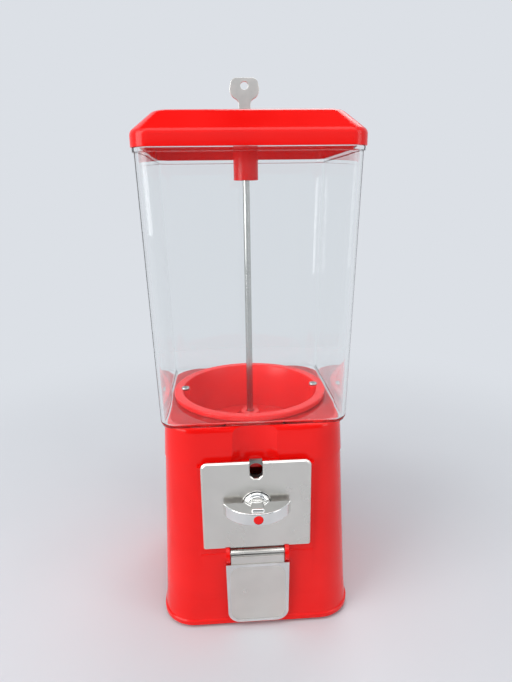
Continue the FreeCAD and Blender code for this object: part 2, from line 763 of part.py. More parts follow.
def make_rod_nut():
    """The hexagon nut in the recess under the base."""
    body = part("rod_nut")
    top = "(nut_recess_depth - rod_washer_height)"
    outline = sketch(body, "outline", level=top)
    hexagon(outline, "0", "0", "rod_nut_flat")
    circle(outline, "0", "0", "rod_radius + snug_gap")
    pad(body, outline, "rod_nut_height", reverse=True)


def make_rod_washer():
    """The washer between the nut and the base."""
    body = part("rod_washer")
    outline = sketch(body, "outline", level="nut_recess_depth")
    circle(outline, "0", "0", "rod_washer_radius")
    circle(outline, "0", "0", "rod_radius + joint_gap")
    pad(body, outline, "rod_washer_height", reverse=True)


def make_thrust_washer():
    """The washer on the hopper's floor that the gum wheel turns on."""
    body = part("thrust_washer")
    outline = sketch(body, "outline", level="bowl_floor_top")
    circle(outline, "0", "0", "rod_washer_radius")
    circle(outline, "0", "0", "rod_radius + joint_gap")
    pad(body, outline, "gum_wheel_rise")


def make_gum_wheel():
    """The gum wheel: a thick, slightly domed disc with six round pockets and a groove for its crown."""
    body = part("gum_wheel")
    bore = "(rod_radius + running_gap)"
    groove_top = f"({CROWN_ROOT} + crown_back)"
    profile = sketch(body, "profile", "XZ_Plane")
    polygon(profile, [
        (bore, WHEEL_LOW),
        ("crown_inner - snug_gap", WHEEL_LOW),
        ("crown_inner - snug_gap", groove_top),
        ("crown_outer + snug_gap", groove_top),
        ("crown_outer + snug_gap", WHEEL_LOW),
        ("gum_wheel_radius", WHEEL_LOW),
        ("gum_wheel_radius", "gum_wheel_top - gum_wheel_dish"),
        ("gum_hub_low_radius", "gum_wheel_top"),
        (bore, "gum_wheel_top"),
    ])
    revolve(body, profile)
    pocket = sketch(body, "pocket", level="gum_wheel_top")
    circle(pocket, "0", "-pocket_reach", "pocket_radius")
    first = cut(body, pocket, "gum_wheel_top - bowl_floor_top")
    repeat(body, first, pocket, "pocket_count")


def make_gum_hub():
    """The cone on the gum wheel that sheds gumballs from the rod."""
    body = part("gum_hub")
    bore = "(rod_radius + running_gap)"
    hub_top = "(gum_wheel_top + gum_hub_height)"
    profile = sketch(body, "profile", "XZ_Plane")
    polygon(profile, [
        (bore, "gum_wheel_top"),
        ("gum_hub_low_radius", "gum_wheel_top"),
        ("gum_hub_top_radius", hub_top),
        (bore, hub_top),
    ])
    revolve(body, profile)
    dress(body, "Fillet", flat_at(hub_top), "gum_hub_round")


def make_crown_ring():
    """The ring of radial teeth under the gum wheel; a space stands over the pinion."""
    body = part("crown_ring")
    body.Placement.Rotation = FreeCAD.Rotation(FreeCAD.Vector(0, 0, 1), 180 / value("crown_teeth"))
    ring = sketch(body, "ring", level=CROWN_ROOT)
    circle(ring, "0", "0", "crown_outer")
    circle(ring, "0", "0", "crown_inner")
    pad(body, ring, "crown_back")
    tooth = sketch(body, "tooth", "XZ_Plane", "crown_inner + snug_gap")
    sink = "crown_back / 2"
    polygon(tooth, [
        ("-crown_tip_half", f"{PITCH_LEVEL} - crown_addendum"),
        ("crown_tip_half", f"{PITCH_LEVEL} - crown_addendum"),
        ("crown_root_half", CROWN_ROOT),
        ("crown_root_half", f"{CROWN_ROOT} + {sink}"),
        ("-crown_root_half", f"{CROWN_ROOT} + {sink}"),
        ("-crown_root_half", CROWN_ROOT),
    ])
    first = pad(body, tooth, "crown_outer - crown_inner - 4 * snug_gap")
    repeat(body, first, ring, "crown_teeth")


def make_coin_plate():
    """The bevelled coin plate with its coin notch, clearances for the flap's ears and four studs behind."""
    body = part("coin_plate")
    ear_in = "(mouth_half + lug_gap - lug_clearance)"
    ear_out = "(mouth_half + lug_gap + lug_thick + lug_clearance)"
    ear_top = "(hinge_height + lug_radius + lug_clearance)"
    outline = sketch(body, "outline", "XZ_Plane", "pad_front")
    half_outline = [
        (ear_in, "plate_low"),
        (ear_in, ear_top),
        (ear_out, ear_top),
        (ear_out, "plate_low"),
        ("plate_half", "plate_low"),
        ("plate_half", "plate_top"),
        ("notch_half", "plate_top"),
        ("notch_half", "notch_low + notch_corner"),
        ("notch_half - notch_corner", "notch_low"),
    ]
    mirrored = [(f"-({x})", y) for x, y in reversed(half_outline)]
    polygon(outline, half_outline + mirrored)
    pad(body, outline, "plate_thick")
    top = value("plate_top")
    low = value("plate_low")
    half = value("plate_half")
    at_front = flat_at_front(PLATE_FRONT)

    def top_corner(box):
        """The short edges through the plate at its upper corners."""
        return near(box.ZMin, top) and near(abs(box.XMin), half) and near(box.XMin, box.XMax)

    def rim(box):
        """The plate's front edge: its two sides, its round corners and its top."""
        reach = max(abs(box.XMin), abs(box.XMax))
        return at_front(box) and not near(box.ZMax, low) and (near(reach, half) or near(box.ZMin, top))

    def notch_edge(box):
        """The front edges of the coin notch."""
        reach = max(abs(box.XMin), abs(box.XMax))
        return at_front(box) and reach < value("notch_half + snug_gap") and box.ZMin > value("shaft_height")

    dress(body, "Fillet", top_corner, "plate_corner")
    dress(body, "Chamfer", rim, "plate_bevel")
    dress(body, "Chamfer", notch_edge, "notch_bevel")
    shaft_hole = sketch(body, "shaft_hole", "XZ_Plane", f"{PLATE_FRONT} + cut_margin")
    circle(shaft_hole, "0", "shaft_height", "bushing_sleeve + snug_gap")
    cut(body, shaft_hole, "2 * plate_thick")
    studs = sketch(body, "studs", "XZ_Plane", "pad_front")
    screw_holes = sketch(body, "screw_holes", "XZ_Plane", "pad_front")
    for x_sign in (-1, 1):
        for height in ("plate_low + stud_inset", "plate_top - stud_inset - plate_bevel"):
            circle(studs, f"{x_sign} * stud_reach", height, "stud_radius")
        for y_sign in (-1, 1):
            circle(screw_holes, f"{x_sign} * frame_ear_x", f"shaft_height + {y_sign} * frame_ear_y",
                   "frame_screw_radius + snug_gap")
    pad(body, studs, "stud_length", reverse=True)
    cut(body, screw_holes, "frame_screw_bite + joint_gap", reverse=True)


def make_plate_nuts():
    """Four nuts that hold the coin plate's studs behind the raised flat."""
    body = part("plate_nuts")
    outline = sketch(body, "outline", "XZ_Plane", "pad_front - pad_wall")
    for x_sign in (-1, 1):
        for height in ("plate_low + stud_inset", "plate_top - stud_inset - plate_bevel"):
            hexagon(outline, f"{x_sign} * stud_reach", height, "plate_nut_flat")
            circle(outline, f"{x_sign} * stud_reach", height, "stud_radius + snug_gap")
    pad(body, outline, "plate_nut_height", reverse=True)


def make_shaft_bushing():
    """The domed collar on the coin plate that the crank turns in."""
    body = part("shaft_bushing", at_shaft=True)
    profile = sketch(body, "profile", "XZ_Plane")
    bore = "(shaft_radius + snug_gap)"
    polygon(profile, [
        (bore, "pad_front"),
        ("bushing_sleeve", "pad_front"),
        ("bushing_sleeve", PLATE_FRONT),
        ("bushing_radius", PLATE_FRONT),
        ("bushing_radius", f"{PLATE_FRONT} + bushing_flange"),
        ("bushing_nose", f"{PLATE_FRONT} + bushing_flange + bushing_dome"),
        (bore, f"{PLATE_FRONT} + bushing_flange + bushing_dome"),
    ])
    revolve(body, profile)

    def dome_edge(box):
        """The two outer rings of the dome."""
        square_to_shaft = near(box.YMin, box.YMax)
        return square_to_shaft and -box.YMin > value(f"{PLATE_FRONT} + bushing_flange / 2") \
            and box.XLength > value("2 * bushing_sleeve")

    dress(body, "Fillet", dome_edge, "bushing_round")


def make_mech_frame():
    """The cast frame behind the plate: a ring round the coin's path, a back wall and a long bearing."""
    body = part("mech_frame", at_shaft=True)
    wall = sketch(body, "wall", level=FRAME_BACK)
    circle(wall, "0", "0", "frame_ring_radius")
    pad(body, wall, "frame_wall")
    ring = sketch(body, "ring", level=f"{FRAME_FRONT} - frame_wall / 2")
    circle(ring, "0", "0", "frame_ring_radius")
    circle(ring, "0", "0", "frame_ring_radius - frame_ring_wall")
    pad(body, ring, f"pad_front - {FRAME_FRONT} + frame_wall / 2")
    flat_top = sketch(body, "flat_top", level="pad_front")
    ring_half = "(frame_ring_radius + cut_margin)"
    rectangle(flat_top, f"-{ring_half}", ring_half, "frame_ear_y + frame_ear_radius", ring_half)
    cut(body, flat_top, f"pad_front - {FRAME_BACK}")
    lip = sketch(body, "coin_lip", level=FRAME_BACK)
    rectangle(lip, "-frame_lip_half", "frame_lip_half", "0", "plate_top - frame_lip_drop - shaft_height")
    pad(body, lip, "frame_wall")
    ears = sketch(body, "ears", level=FRAME_BACK)
    ear_holes = sketch(body, "ear_holes", level="pad_front")
    for x_sign in (-1, 1):
        for y_sign in (-1, 1):
            spot = (f"{x_sign} * frame_ear_x", f"{y_sign} * frame_ear_y")
            circle(ears, *spot, "frame_ear_radius")
            circle(ear_holes, *spot, "frame_screw_radius + snug_gap")
    pad(body, ears, f"pad_front - {FRAME_BACK}")
    bearing = sketch(body, "bearing", level=FRAME_FRONT)
    circle(bearing, "0", "0", "bearing_radius")
    pad(body, bearing, "frame_wall + bearing_length", reverse=True)
    gates = sketch(body, "coin_gates", level="pad_front + cut_margin")
    reach = "2 * frame_ring_radius"
    polygon(gates, [("0", "gate_point"), (reach, reach), (f"-{reach}", reach)])
    polygon(gates, [("0", "-gate_point"), (f"-{reach} / 2", f"-{reach}"), (f"{reach} / 2", f"-{reach}")])
    cut(body, gates, f"pad_front - {FRAME_FRONT} + cut_margin")
    cut(body, ear_holes, "3 * bearing_length")
    window = sketch(body, "window", level="pad_front")
    circle(window, "0", "frame_window_height", "frame_window_radius")
    circle(window, "0", "0", "shaft_radius + snug_gap")
    circle(window, "pawl_x", "pawl_y", "pawl_stud_radius + snug_gap")
    cut(body, window, "3 * bearing_length")


def make_mech_screws():
    """Four screws through the frame's ears into the back of the plate."""
    body = part("mech_screws", at_shaft=True)
    heads = sketch(body, "heads", level=FRAME_BACK)
    shanks = sketch(body, "shanks", level=FRAME_BACK)
    for x_sign in (-1, 1):
        for y_sign in (-1, 1):
            circle(heads, f"{x_sign} * frame_ear_x", f"{y_sign} * frame_ear_y", "frame_screw_head")
            circle(shanks, f"{x_sign} * frame_ear_x", f"{y_sign} * frame_ear_y", "frame_screw_radius")
    pad(body, heads, "frame_screw_head_height", reverse=True)
    pad(body, shanks, f"pad_front - {FRAME_BACK} + frame_screw_bite")


def make_pawl_stud():
    """The headed stud on the frame that the pawl hangs on."""
    body = part("pawl_stud", at_shaft=True)
    pawl_back = f"({RATCHET_FRONT} - ratchet_thick - loose_gap)"
    shank = sketch(body, "shank", level=pawl_back)
    circle(shank, "pawl_x", "pawl_y", "pawl_stud_radius")
    pad(body, shank, f"{FRAME_FRONT} - {pawl_back}")
    collar = sketch(body, "collar", level=FRAME_BACK)
    circle(collar, "pawl_x", "pawl_y", "pawl_collar_radius")
    pad(body, collar, "bearing_length", reverse=True)
    head = sketch(body, "head", level=pawl_back)
    circle(head, "pawl_x", "pawl_y", "pawl_collar_radius")
    pad(body, head, "2 * loose_gap", reverse=True)


def make_chute():
    """The chute: a shaft under the outlet that turns into a slide towards the flap."""
    body = part("chute")
    outer_half = "(chute_half + chute_wall)"
    shaft_top = "(bowl_floor_top - bowl_floor - joint_gap)"
    side = sketch(body, "side", "YZ_Plane", f"-{outer_half}")
    polygon(side, [
        ("-chute_back", "chute_turn - chute_wall"),
        ("-chute_back", shaft_top),
        ("-chute_throat", shaft_top),
        ("-chute_throat", "chute_roof + chute_wall"),
        ("-chute_front", "chute_roof + chute_wall - chute_roof_drop"),
        ("-chute_front", "chute_lip - chute_wall"),
    ])
    pad(body, side, f"2 * {outer_half}")
    inside = sketch(body, "inside", "YZ_Plane", "-chute_half")
    polygon(inside, [
        ("-(chute_back + chute_wall)", "chute_turn"),
        ("-(chute_back + chute_wall)", f"{shaft_top} + cut_margin"),
        ("-(chute_throat - chute_wall)", f"{shaft_top} + cut_margin"),
        ("-(chute_throat - chute_wall)", "chute_roof"),
        ("-(chute_front + cut_margin)", "chute_roof - chute_roof_drop"),
        ("-(chute_front + cut_margin)", "chute_lip"),
    ])
    cut(body, inside, "2 * chute_half", reverse=True)


def make_coin_deflector():
    """The folded roof over the slide that sheds coins to both sides."""
    body = part("coin_deflector")
    section = sketch(body, "section", "XZ_Plane", "roof_back")
    eave = "(chute_half + chute_wall)"
    polygon(section, [
        ("0", "roof_ridge"),
        (f"-{eave}", "chute_roof + chute_wall"),
        (f"-{eave}", "chute_roof + 2 * chute_wall"),
        ("0", "roof_ridge + chute_wall"),
        (eave, "chute_roof + 2 * chute_wall"),
        (eave, "chute_roof + chute_wall"),
    ])
    pad(body, section, "hinge_front - flap_barrel_radius - loose_gap - roof_back")


def make_flap_pin():
    """The pin that the flap hangs on, through both ears."""
    body = part("flap_pin")
    reach = "(mouth_half + lug_gap + lug_thick)"
    section = sketch(body, "section", "YZ_Plane", f"-{reach}")
    circle(section, "-hinge_front", "hinge_height", "hinge_pin_radius")
    pad(body, section, f"2 * {reach}")


def make_chute_flap():
    """The flap: a dished plate with a raised rim, a neck and a barrel on the pin, ribbed along its length."""
    body = part("chute_flap")
    panel = sketch(body, "panel", "XZ_Plane", "flap_back")
    polygon(panel, [
        ("-flap_half_low", "flap_low"),
        ("flap_half_low", "flap_low"),
        ("flap_half_top", "flap_top"),
        ("-flap_half_top", "flap_top"),
    ])
    pad(body, panel, "flap_thick + flap_rim")
    low = value("flap_low")
    dress(body, "Fillet", lambda box: near(box.XMin, box.XMax) and near(box.ZMin, low), "flap_corner")
    barrel_half = "(mouth_half + lug_gap - 2 * loose_gap)"
    field = sketch(body, "field", "XZ_Plane", "flap_back + flap_thick + flap_rim")
    rounded_rectangle(field, "flap_half_low - flap_rim_width", "flap_low + flap_rim_width",
                      "flap_top - flap_rim_width", "flap_corner - flap_rim_width")
    cut(body, field, "flap_rim")
    neck = sketch(body, "neck", "XZ_Plane", "flap_back")
    rectangle(neck, f"-{barrel_half}", barrel_half, "flap_top - flap_rim_width", "hinge_height")
    pad(body, neck, "flap_thick")
    barrel = sketch(body, "barrel", "YZ_Plane", f"-{barrel_half}")
    ridge = "flap_barrel_radius"
    valley = "(flap_barrel_radius - flap_rib_depth)"
    ribbed = []
    for number in range(round(value("flap_rib_count"))):
        for place, radius in ((0, ridge), (0.5, ridge), (0.5, valley), (1, valley)):
            angle = f"({number + place} * 360 deg / flap_rib_count)"
            across = f"{radius} * cos({angle}) - hinge_front"
            ribbed.append((across, f"{radius} * sin({angle}) + hinge_height"))
    polygon(barrel, ribbed)
    pad(body, barrel, f"2 * {barrel_half}")
    bore = sketch(body, "bore", "YZ_Plane", f"-{barrel_half}")
    circle(bore, "-hinge_front", "hinge_height", "hinge_pin_radius + running_gap")
    cut(body, bore, f"2 * {barrel_half}", reverse=True)


def make_drive_shaft():
    """The crank's shaft, from the handle to the pinion, with a groove for its clip."""
    body = part("drive_shaft", at_shaft=True)
    section = sketch(body, "section", level="shaft_back")
    circle(section, "0", "0", "shaft_radius")
    pad(body, section, "handle_front - dot_depth - shaft_back - snug_gap")
    dress(body, "Chamfer", lambda box: near(box.YMin, box.YMax), "shaft_radius / 8")
    clip_front = "(pinion_middle - pinion_width / 2 - snug_gap)"
    groove = sketch(body, "groove", level=clip_front)
    circle(groove, "0", "0", "2 * shaft_radius")
    circle(groove, "0", "0", "shaft_radius - clip_bite")
    cut(body, groove, "clip_thick + snug_gap")


def make_handle():
    """The crank's handle: a half-moon grip on a round hub."""
    body = part("handle", at_shaft=True)
    rise = "(handle_front - handle_back)"
    arc_radius = f"((handle_half * handle_half + {rise} * {rise}) / (2 * {rise}))"
    moon = sketch(body, "moon", "XZ_Plane", "-handle_thick / 2")
    circle(moon, "0", f"handle_front - {arc_radius}", arc_radius)
    pad(body, moon, "handle_thick")
    behind = sketch(body, "behind", "XZ_Plane", "handle_thick")
    wide = f"(2 * {arc_radius})"
    rectangle(behind, f"-{wide}", wide, f"handle_front - 2 * {wide}", "handle_back")
    cut(body, behind, "2 * handle_thick")
    dress(body, "Fillet", lambda box: near(box.ZMin, box.ZMax), "handle_round")
    hub_back = f"({PLATE_FRONT} + bushing_flange + bushing_dome + loose_gap)"
    hub = sketch(body, "hub", level=hub_back)
    circle(hub, "0", "0", "handle_hub_radius")
    pad(body, hub, f"handle_front - dot_depth - {hub_back}")
    bore = sketch(body, "bore", level="handle_front + cut_margin")
    circle(bore, "0", "0", "shaft_radius + snug_gap / 2")
    cut(body, bore, f"handle_front - {hub_back} + 2 * cut_margin")
    grub = sketch(body, "grub_hole", "XZ_Plane", "2 * handle_hub_radius")
    circle(grub, "0", "handle_back + handle_hub_radius", "grub_radius + snug_gap")
    cut(body, grub, "2 * handle_hub_radius")


def make_handle_dot():
    """The red button in the middle of the handle's front."""
    body = part("handle_dot", at_shaft=True)
    button = sketch(body, "button", level="handle_front - dot_depth")
    circle(button, "0", "0", "dot_radius - snug_gap / 2")
    pad(body, button, "dot_depth")
    dress(body, "Fillet", flat_at_front("handle_front"), "dot_depth / 6")


def make_handle_grub():
    """The grub screw that holds the handle on the shaft."""
    body = part("handle_grub", at_shaft=True)
    screw = sketch(body, "screw", "XZ_Plane", "shaft_radius + snug_gap")
    circle(screw, "0", "handle_back + handle_hub_radius", "grub_radius")
    pad(body, screw, "handle_thick / 2 - shaft_radius - snug_gap")


def make_coin_wheel():
    """The coin wheel: a disc with one round bite that carries the coin."""
    body = part("coin_wheel", at_shaft=True)
    disc = sketch(body, "disc", level=COIN_WHEEL_FRONT)
    circle(disc, "0", "0", "coin_wheel_radius")
    circle(disc, "0", "0", "shaft_radius + snug_gap / 2")
    pad(body, disc, "coin_wheel_thick", reverse=True)
    bite = sketch(body, "bite", level=COIN_WHEEL_FRONT)
    circle(bite, "0", "coin_reach", "coin_radius")
    cut(body, bite, "2 * coin_wheel_thick")


def make_ratchet_wheel():
    """The ratchet wheel: saw teeth that let the crank turn one way."""
    body = part("ratchet_wheel", at_shaft=True)
    disc = sketch(body, "disc", level=RATCHET_FRONT)
    circle(disc, "0", "0", "ratchet_root_radius")
    circle(disc, "0", "0", "shaft_radius + snug_gap / 2")
    pad(body, disc, "ratchet_thick", reverse=True)
    tooth = sketch(body, "tooth", level=RATCHET_FRONT)
    back = "(360 deg / ratchet_teeth * ratchet_tooth_share)"
    foot = "(ratchet_root_radius - tooth_sink)"
    polygon(tooth, [
        ("0", foot),
        ("0", "ratchet_tip_radius"),
        (f"-{foot} * sin({back})", f"{foot} * cos({back})"),
    ])
    first = pad(body, tooth, "ratchet_thick", reverse=True)
    repeat(body, first, tooth, "ratchet_teeth")


def make_drive_pinion():
    """The pinion that drives the gum wheel's crown of teeth."""
    body = part("drive_pinion", at_shaft=True)
    front = "(pinion_middle + pinion_width / 2)"
    root = f"({PITCH_RADIUS} - pinion_dedendum)"
    disc = sketch(body, "disc", level=front)
    circle(disc, "0", "0", root)
    circle(disc, "0", "0", "shaft_radius + snug_gap / 2")
    pad(body, disc, "pinion_width", reverse=True)
    tooth = sketch(body, "tooth", level=front)
    polygon(tooth, [
        ("-pinion_root_half", f"{root} - tooth_sink"),
        ("pinion_root_half", f"{root} - tooth_sink"),
        ("pinion_root_half", root),
        ("pinion_tip_half", f"{PITCH_RADIUS} + pinion_addendum"),
        ("-pinion_tip_half", f"{PITCH_RADIUS} + pinion_addendum"),
        ("-pinion_root_half", root),
    ])
    first = pad(body, tooth, "pinion_width", reverse=True)
    repeat(body, first, tooth, "pinion_teeth")


def make_shaft_clip():
    """The clip in the shaft's groove behind the pinion."""
    body = part("shaft_clip", at_shaft=True)
    ring = sketch(body, "ring", level="pinion_middle - pinion_width / 2 - snug_gap")
    circle(ring, "0", "0", "clip_radius")
    circle(ring, "0", "0", "shaft_radius - clip_bite + snug_gap")
    pad(body, ring, "clip_thick", reverse=True)


def make_ratchet_pawl():
    """The pawl that drops on the ratchet by its own weight."""
    body = part("ratchet_pawl", at_shaft=True)
    arm = sketch(body, "arm", level=RATCHET_FRONT)
    tip_y = "(ratchet_tip_radius + loose_gap)"
    polygon(arm, [
        ("pawl_x", "pawl_y + pawl_hub_radius"),
        ("0", f"{tip_y} + pawl_nose"),
        ("pawl_nose", f"{tip_y} + pawl_nose"),
        ("pawl_nose", tip_y),
        ("-pawl_nose", tip_y),
        ("-ratchet_tip_radius / 2", f"{tip_y} + pawl_nose / 4"),
        ("pawl_x", "pawl_y"),
    ])
    pad(body, arm, "ratchet_thick", reverse=True)
    hub = sketch(body, "hub", level=RATCHET_FRONT)
    circle(hub, "pawl_x", "pawl_y", "pawl_hub_radius")
    pad(body, hub, "ratchet_thick", reverse=True)
    bore = sketch(body, "bore", level=RATCHET_FRONT)
    circle(bore, "pawl_x", "pawl_y", "pawl_stud_radius + running_gap")
    cut(body, bore, "2 * ratchet_thick")


def make_lid():
    """The lid: a square cap with a flat skirt and broad sloping sides, hollow below."""
    body = part("lid")
    slope = "((lid_half - lid_top_half) / lid_rise)"
    fade = "((lid_corner - lid_top_corner) / lid_rise)"
    soft_in = f"(lid_soft * {slope})"
    soft_fade = f"(lid_soft * {fade})"
    loft(body, "outside", [
        (GLOBE_TOP, "lid_half", "lid_corner"),
        (f"{LID_CREASE} - lid_soft", "lid_half", "lid_corner"),
        (f"{LID_CREASE} + lid_soft", f"lid_half - {soft_in}", f"lid_corner - {soft_fade}"),
        (f"{LID_TOP} - lid_soft", f"lid_top_half + {soft_in}", f"lid_top_corner + {soft_fade}"),
        (LID_TOP, "lid_top_half - lid_soft", "lid_top_corner - lid_soft / 2"),
    ])
    loft(body, "inside", [
        (GLOBE_TOP, "lid_half - lid_ledge", "lid_corner - lid_ledge"),
        (f"{LID_CREASE} - lid_wall / 2", "lid_half - lid_ledge", "lid_corner - lid_ledge"),
        (f"{LID_TOP} - lid_wall", "lid_top_half - lid_wall", "lid_top_corner - lid_wall"),
    ], hollow=True)
    hole = sketch(body, "lock_hole", level=f"{LID_TOP} + lid_wall")
    circle(hole, "0", "0", "barrel_radius + snug_gap")
    cut(body, hole, "3 * lid_wall")


def make_lid_boss():
    """The tube under the lid that guides the rod's end to the lock."""
    body = part("lid_boss")
    top = f"({LID_TOP} - lid_wall)"
    tube = sketch(body, "tube", level=top)
    circle(tube, "0", "0", "boss_radius")
    circle(tube, "0", "0", "boss_bore")
    pad(body, tube, "boss_length", reverse=True)
    dress(body, "Fillet", flat_at(f"{top} - boss_length"), "(boss_radius - boss_bore) / 3")


def make_lock_barrel():
    """The lock's fixed barrel with its flange on the lid."""
    body = part("lock_barrel")
    barrel = sketch(body, "barrel", level=LID_TOP)
    circle(barrel, "0", "0", "barrel_radius")
    circle(barrel, "0", "0", "plug_radius + snug_gap")
    pad(body, barrel, "plug_length - barrel_flange_height - loose_gap", reverse=True)
    flange = sketch(body, "flange", level=LID_TOP)
    circle(flange, "0", "0", "barrel_flange")
    circle(flange, "0", "0", "plug_radius + snug_gap")
    pad(body, flange, "barrel_flange_height")
    at_top = flat_at(BARREL_TOP)
    flange_radius = value("barrel_flange")
    dress(body, "Fillet", lambda box: at_top(box) and box.XLength > flange_radius, "barrel_flange_height / 2")


def make_lock_plug():
    """The plug that the key turns, with its keyway."""
    body = part("lock_plug")
    plug = sketch(body, "plug", level=BARREL_TOP)
    circle(plug, "0", "0", "plug_radius")
    pad(body, plug, "plug_length", reverse=True)
    keyway = sketch(body, "keyway", level=BARREL_TOP)
    side = "(key_blade_half + joint_gap / 2)"
    face = "(key_thick / 2 + joint_gap / 2)"
    rectangle(keyway, f"-{side}", side, f"-{face}", face)
    cut(body, keyway, "key_blade_length + joint_gap")


def make_lock_nut():
    """The threaded sleeve under the plug that screws on the rod's end."""
    body = part("lock_nut")
    top = f"({BARREL_TOP} - plug_length)"
    sleeve = sketch(body, "sleeve", level=top)
    circle(sleeve, "0", "0", "lock_nut_radius")
    pad(body, sleeve, "lock_nut_length", reverse=True)
    bore = sketch(body, "bore", level=f"{top} - lock_nut_length")
    circle(bore, "0", "0", "rod_radius + running_gap")
    cut(body, bore, f"rod_top + joint_gap * 4 - {top} + lock_nut_length", reverse=True)


def make_key():
    """The key: a plain bow with a ring hole, a stem and a blade in the lock."""
    body = part("key")
    stem_low = f"({BARREL_TOP} + joint_gap)"
    bow_low = f"({stem_low} + key_stem_height)"
    bow_top = f"({bow_low} + key_bow_height)"
    outline = sketch(body, "outline", "XZ_Plane", "-key_thick / 2")
    half_outline = [
        ("key_blade_half", f"{BARREL_TOP} - key_blade_length"),
        ("key_blade_half", stem_low),
        ("key_stem_half", stem_low),
        ("key_stem_half", bow_low),
        ("key_bow_half", f"{bow_low} + key_bow_low"),
        ("key_bow_half", f"{bow_low} + key_bow_shoulder"),
        ("key_bow_top_half", bow_top),
    ]
    mirrored = [(f"-({x})", y) for x, y in reversed(half_outline)]
    polygon(outline, half_outline + mirrored)
    pad(body, outline, "key_thick")

    def bow_corner(box):
        """The short edges through the bow at its corners."""
        through = near(box.XMin, box.XMax) and near(box.ZMin, box.ZMax)
        return through and box.ZMin > value(f"{bow_low} + key_bow_low / 2")

    dress(body, "Fillet", bow_corner, "key_bow_round")
    hole = sketch(body, "ring_hole", "XZ_Plane", "key_thick")
    circle(hole, "0", f"{bow_top} - key_hole_radius * 2", "key_hole_radius")
    cut(body, hole, "2 * key_thick")


for make in (
    make_base_casting, make_rubber_feet, make_body_shell, make_top_collar, make_globe,
    make_hopper_bowl, make_hopper_screws, make_center_rod, make_rod_nut, make_rod_washer, make_thrust_washer,
    make_gum_wheel, make_gum_hub, make_crown_ring,
    make_coin_plate, make_plate_nuts, make_shaft_bushing, make_mech_frame, make_mech_screws, make_pawl_stud,
    make_chute, make_coin_deflector, make_flap_pin, make_chute_flap,
    make_drive_shaft, make_handle, make_handle_dot, make_handle_grub,
    make_coin_wheel, make_ratchet_wheel, make_drive_pinion, make_shaft_clip, make_ratchet_pawl,
    make_lid, make_lid_boss, make_lock_barrel, make_lock_plug, make_lock_nut, make_key,
):
    make()
doc.recompute()

for item in doc.Objects:
    if {"Invalid", "Error"} & set(item.State):
        raise RuntimeError(f"{item.Name} failed: {item.State}")
for body in parts:
    if body.Shape.isNull() or not body.Shape.isValid():
        raise RuntimeError(f"{body.Label} has no valid shape")

os.makedirs("parts", exist_ok=True)
for body in parts:
    body.Shape.exportStep(f"parts/{body.Label}.step")
    box = body.Shape.BoundBox
    print(f"{body.Label:16s} solids {len(body.Shape.Solids)}  volume {body.Shape.Volume:10.0f}"
          f"  x {box.XMin:.1f} {box.XMax:.1f}  y {box.YMin:.1f} {box.YMax:.1f}"
          f"  z {box.ZMin:.1f} {box.ZMax:.1f}")
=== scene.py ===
import json
import math
import bmesh
import bpy
from mathutils import Matrix, Vector


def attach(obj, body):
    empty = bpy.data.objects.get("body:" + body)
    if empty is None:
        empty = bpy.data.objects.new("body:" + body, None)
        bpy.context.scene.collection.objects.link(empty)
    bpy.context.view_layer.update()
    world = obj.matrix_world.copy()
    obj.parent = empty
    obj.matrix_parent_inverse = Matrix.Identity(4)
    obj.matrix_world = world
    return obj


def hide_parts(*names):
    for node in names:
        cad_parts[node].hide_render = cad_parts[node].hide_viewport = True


# A red square-globe gumball machine, empty, with its key in the lid.
# Metres, +Z up, the front towards -Y, the origin under the middle of the base.

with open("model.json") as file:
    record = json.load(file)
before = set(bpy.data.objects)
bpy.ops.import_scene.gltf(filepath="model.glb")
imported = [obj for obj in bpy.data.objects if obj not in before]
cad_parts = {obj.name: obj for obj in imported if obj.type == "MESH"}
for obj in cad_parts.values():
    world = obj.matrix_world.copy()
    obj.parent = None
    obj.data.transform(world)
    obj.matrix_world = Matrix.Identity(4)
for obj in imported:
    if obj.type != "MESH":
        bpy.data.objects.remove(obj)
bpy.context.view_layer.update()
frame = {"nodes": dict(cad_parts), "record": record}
nodes = frame["nodes"]
MM = 0.001
# two heights closer than this, in metres, are the same
NEAR = 1e-5
# radius in millimetres of a pole: a circle can't be drawn out from nothing
POLE = 0.005
# where a noise pattern counts as low and as high
PATTERN_LOW, PATTERN_HIGH = 0.3, 0.7


# Finishes

def colour(code):
    """An sRGB hex value as linear red, green, blue and alpha."""
    channels = [int(code[i:i + 2], 16) / 255 for i in (1, 3, 5)]
    return tuple(c / 12.92 if c <= 0.04045 else ((c + 0.055) / 1.055) ** 2.4 for c in channels) + (1.0,)


def add(tree, kind, links=None, **settings):
    """Add a node with its settings; links give an input's name and the output that feeds it."""
    node = tree.nodes.new(kind)
    for name, setting in settings.items():
        if name in node.inputs:
            node.inputs[name].default_value = setting
        else:
            setattr(node, name, setting)
    for name, source in (links or {}).items():
        tree.links.new(source, node.inputs[name])
    return node


def finish_of(name, **sockets):
    """A new material with one shader; returns the material, its node tree, the shader and the coordinates."""
    material = bpy.data.materials.new(name)
    material.use_nodes = True
    tree = material.node_tree
    shader = tree.nodes["Principled BSDF"]
    for socket, setting in sockets.items():
        shader.inputs[socket].default_value = setting
    where = add(tree, "ShaderNodeTexCoord").outputs["Object"]
    return material, tree, shader, where


def vary(tree, shader, where, size_mm, low, high):
    """Let the base colour drift between two tones in patches of a real size; returns the patches."""
    patches = add(tree, "ShaderNodeTexNoise", {"Vector": where}, Scale=1 / (size_mm * MM), Detail=2.0)
    ramp = add(tree, "ShaderNodeValToRGB", {"Fac": patches.outputs["Fac"]})
    ramp.color_ramp.interpolation = "EASE"
    ramp.color_ramp.elements[0].position = PATTERN_LOW
    ramp.color_ramp.elements[0].color = colour(low)
    ramp.color_ramp.elements[1].position = PATTERN_HIGH
    ramp.color_ramp.elements[1].color = colour(high)
    tree.links.new(ramp.outputs["Color"], shader.inputs["Base Color"])
    return patches


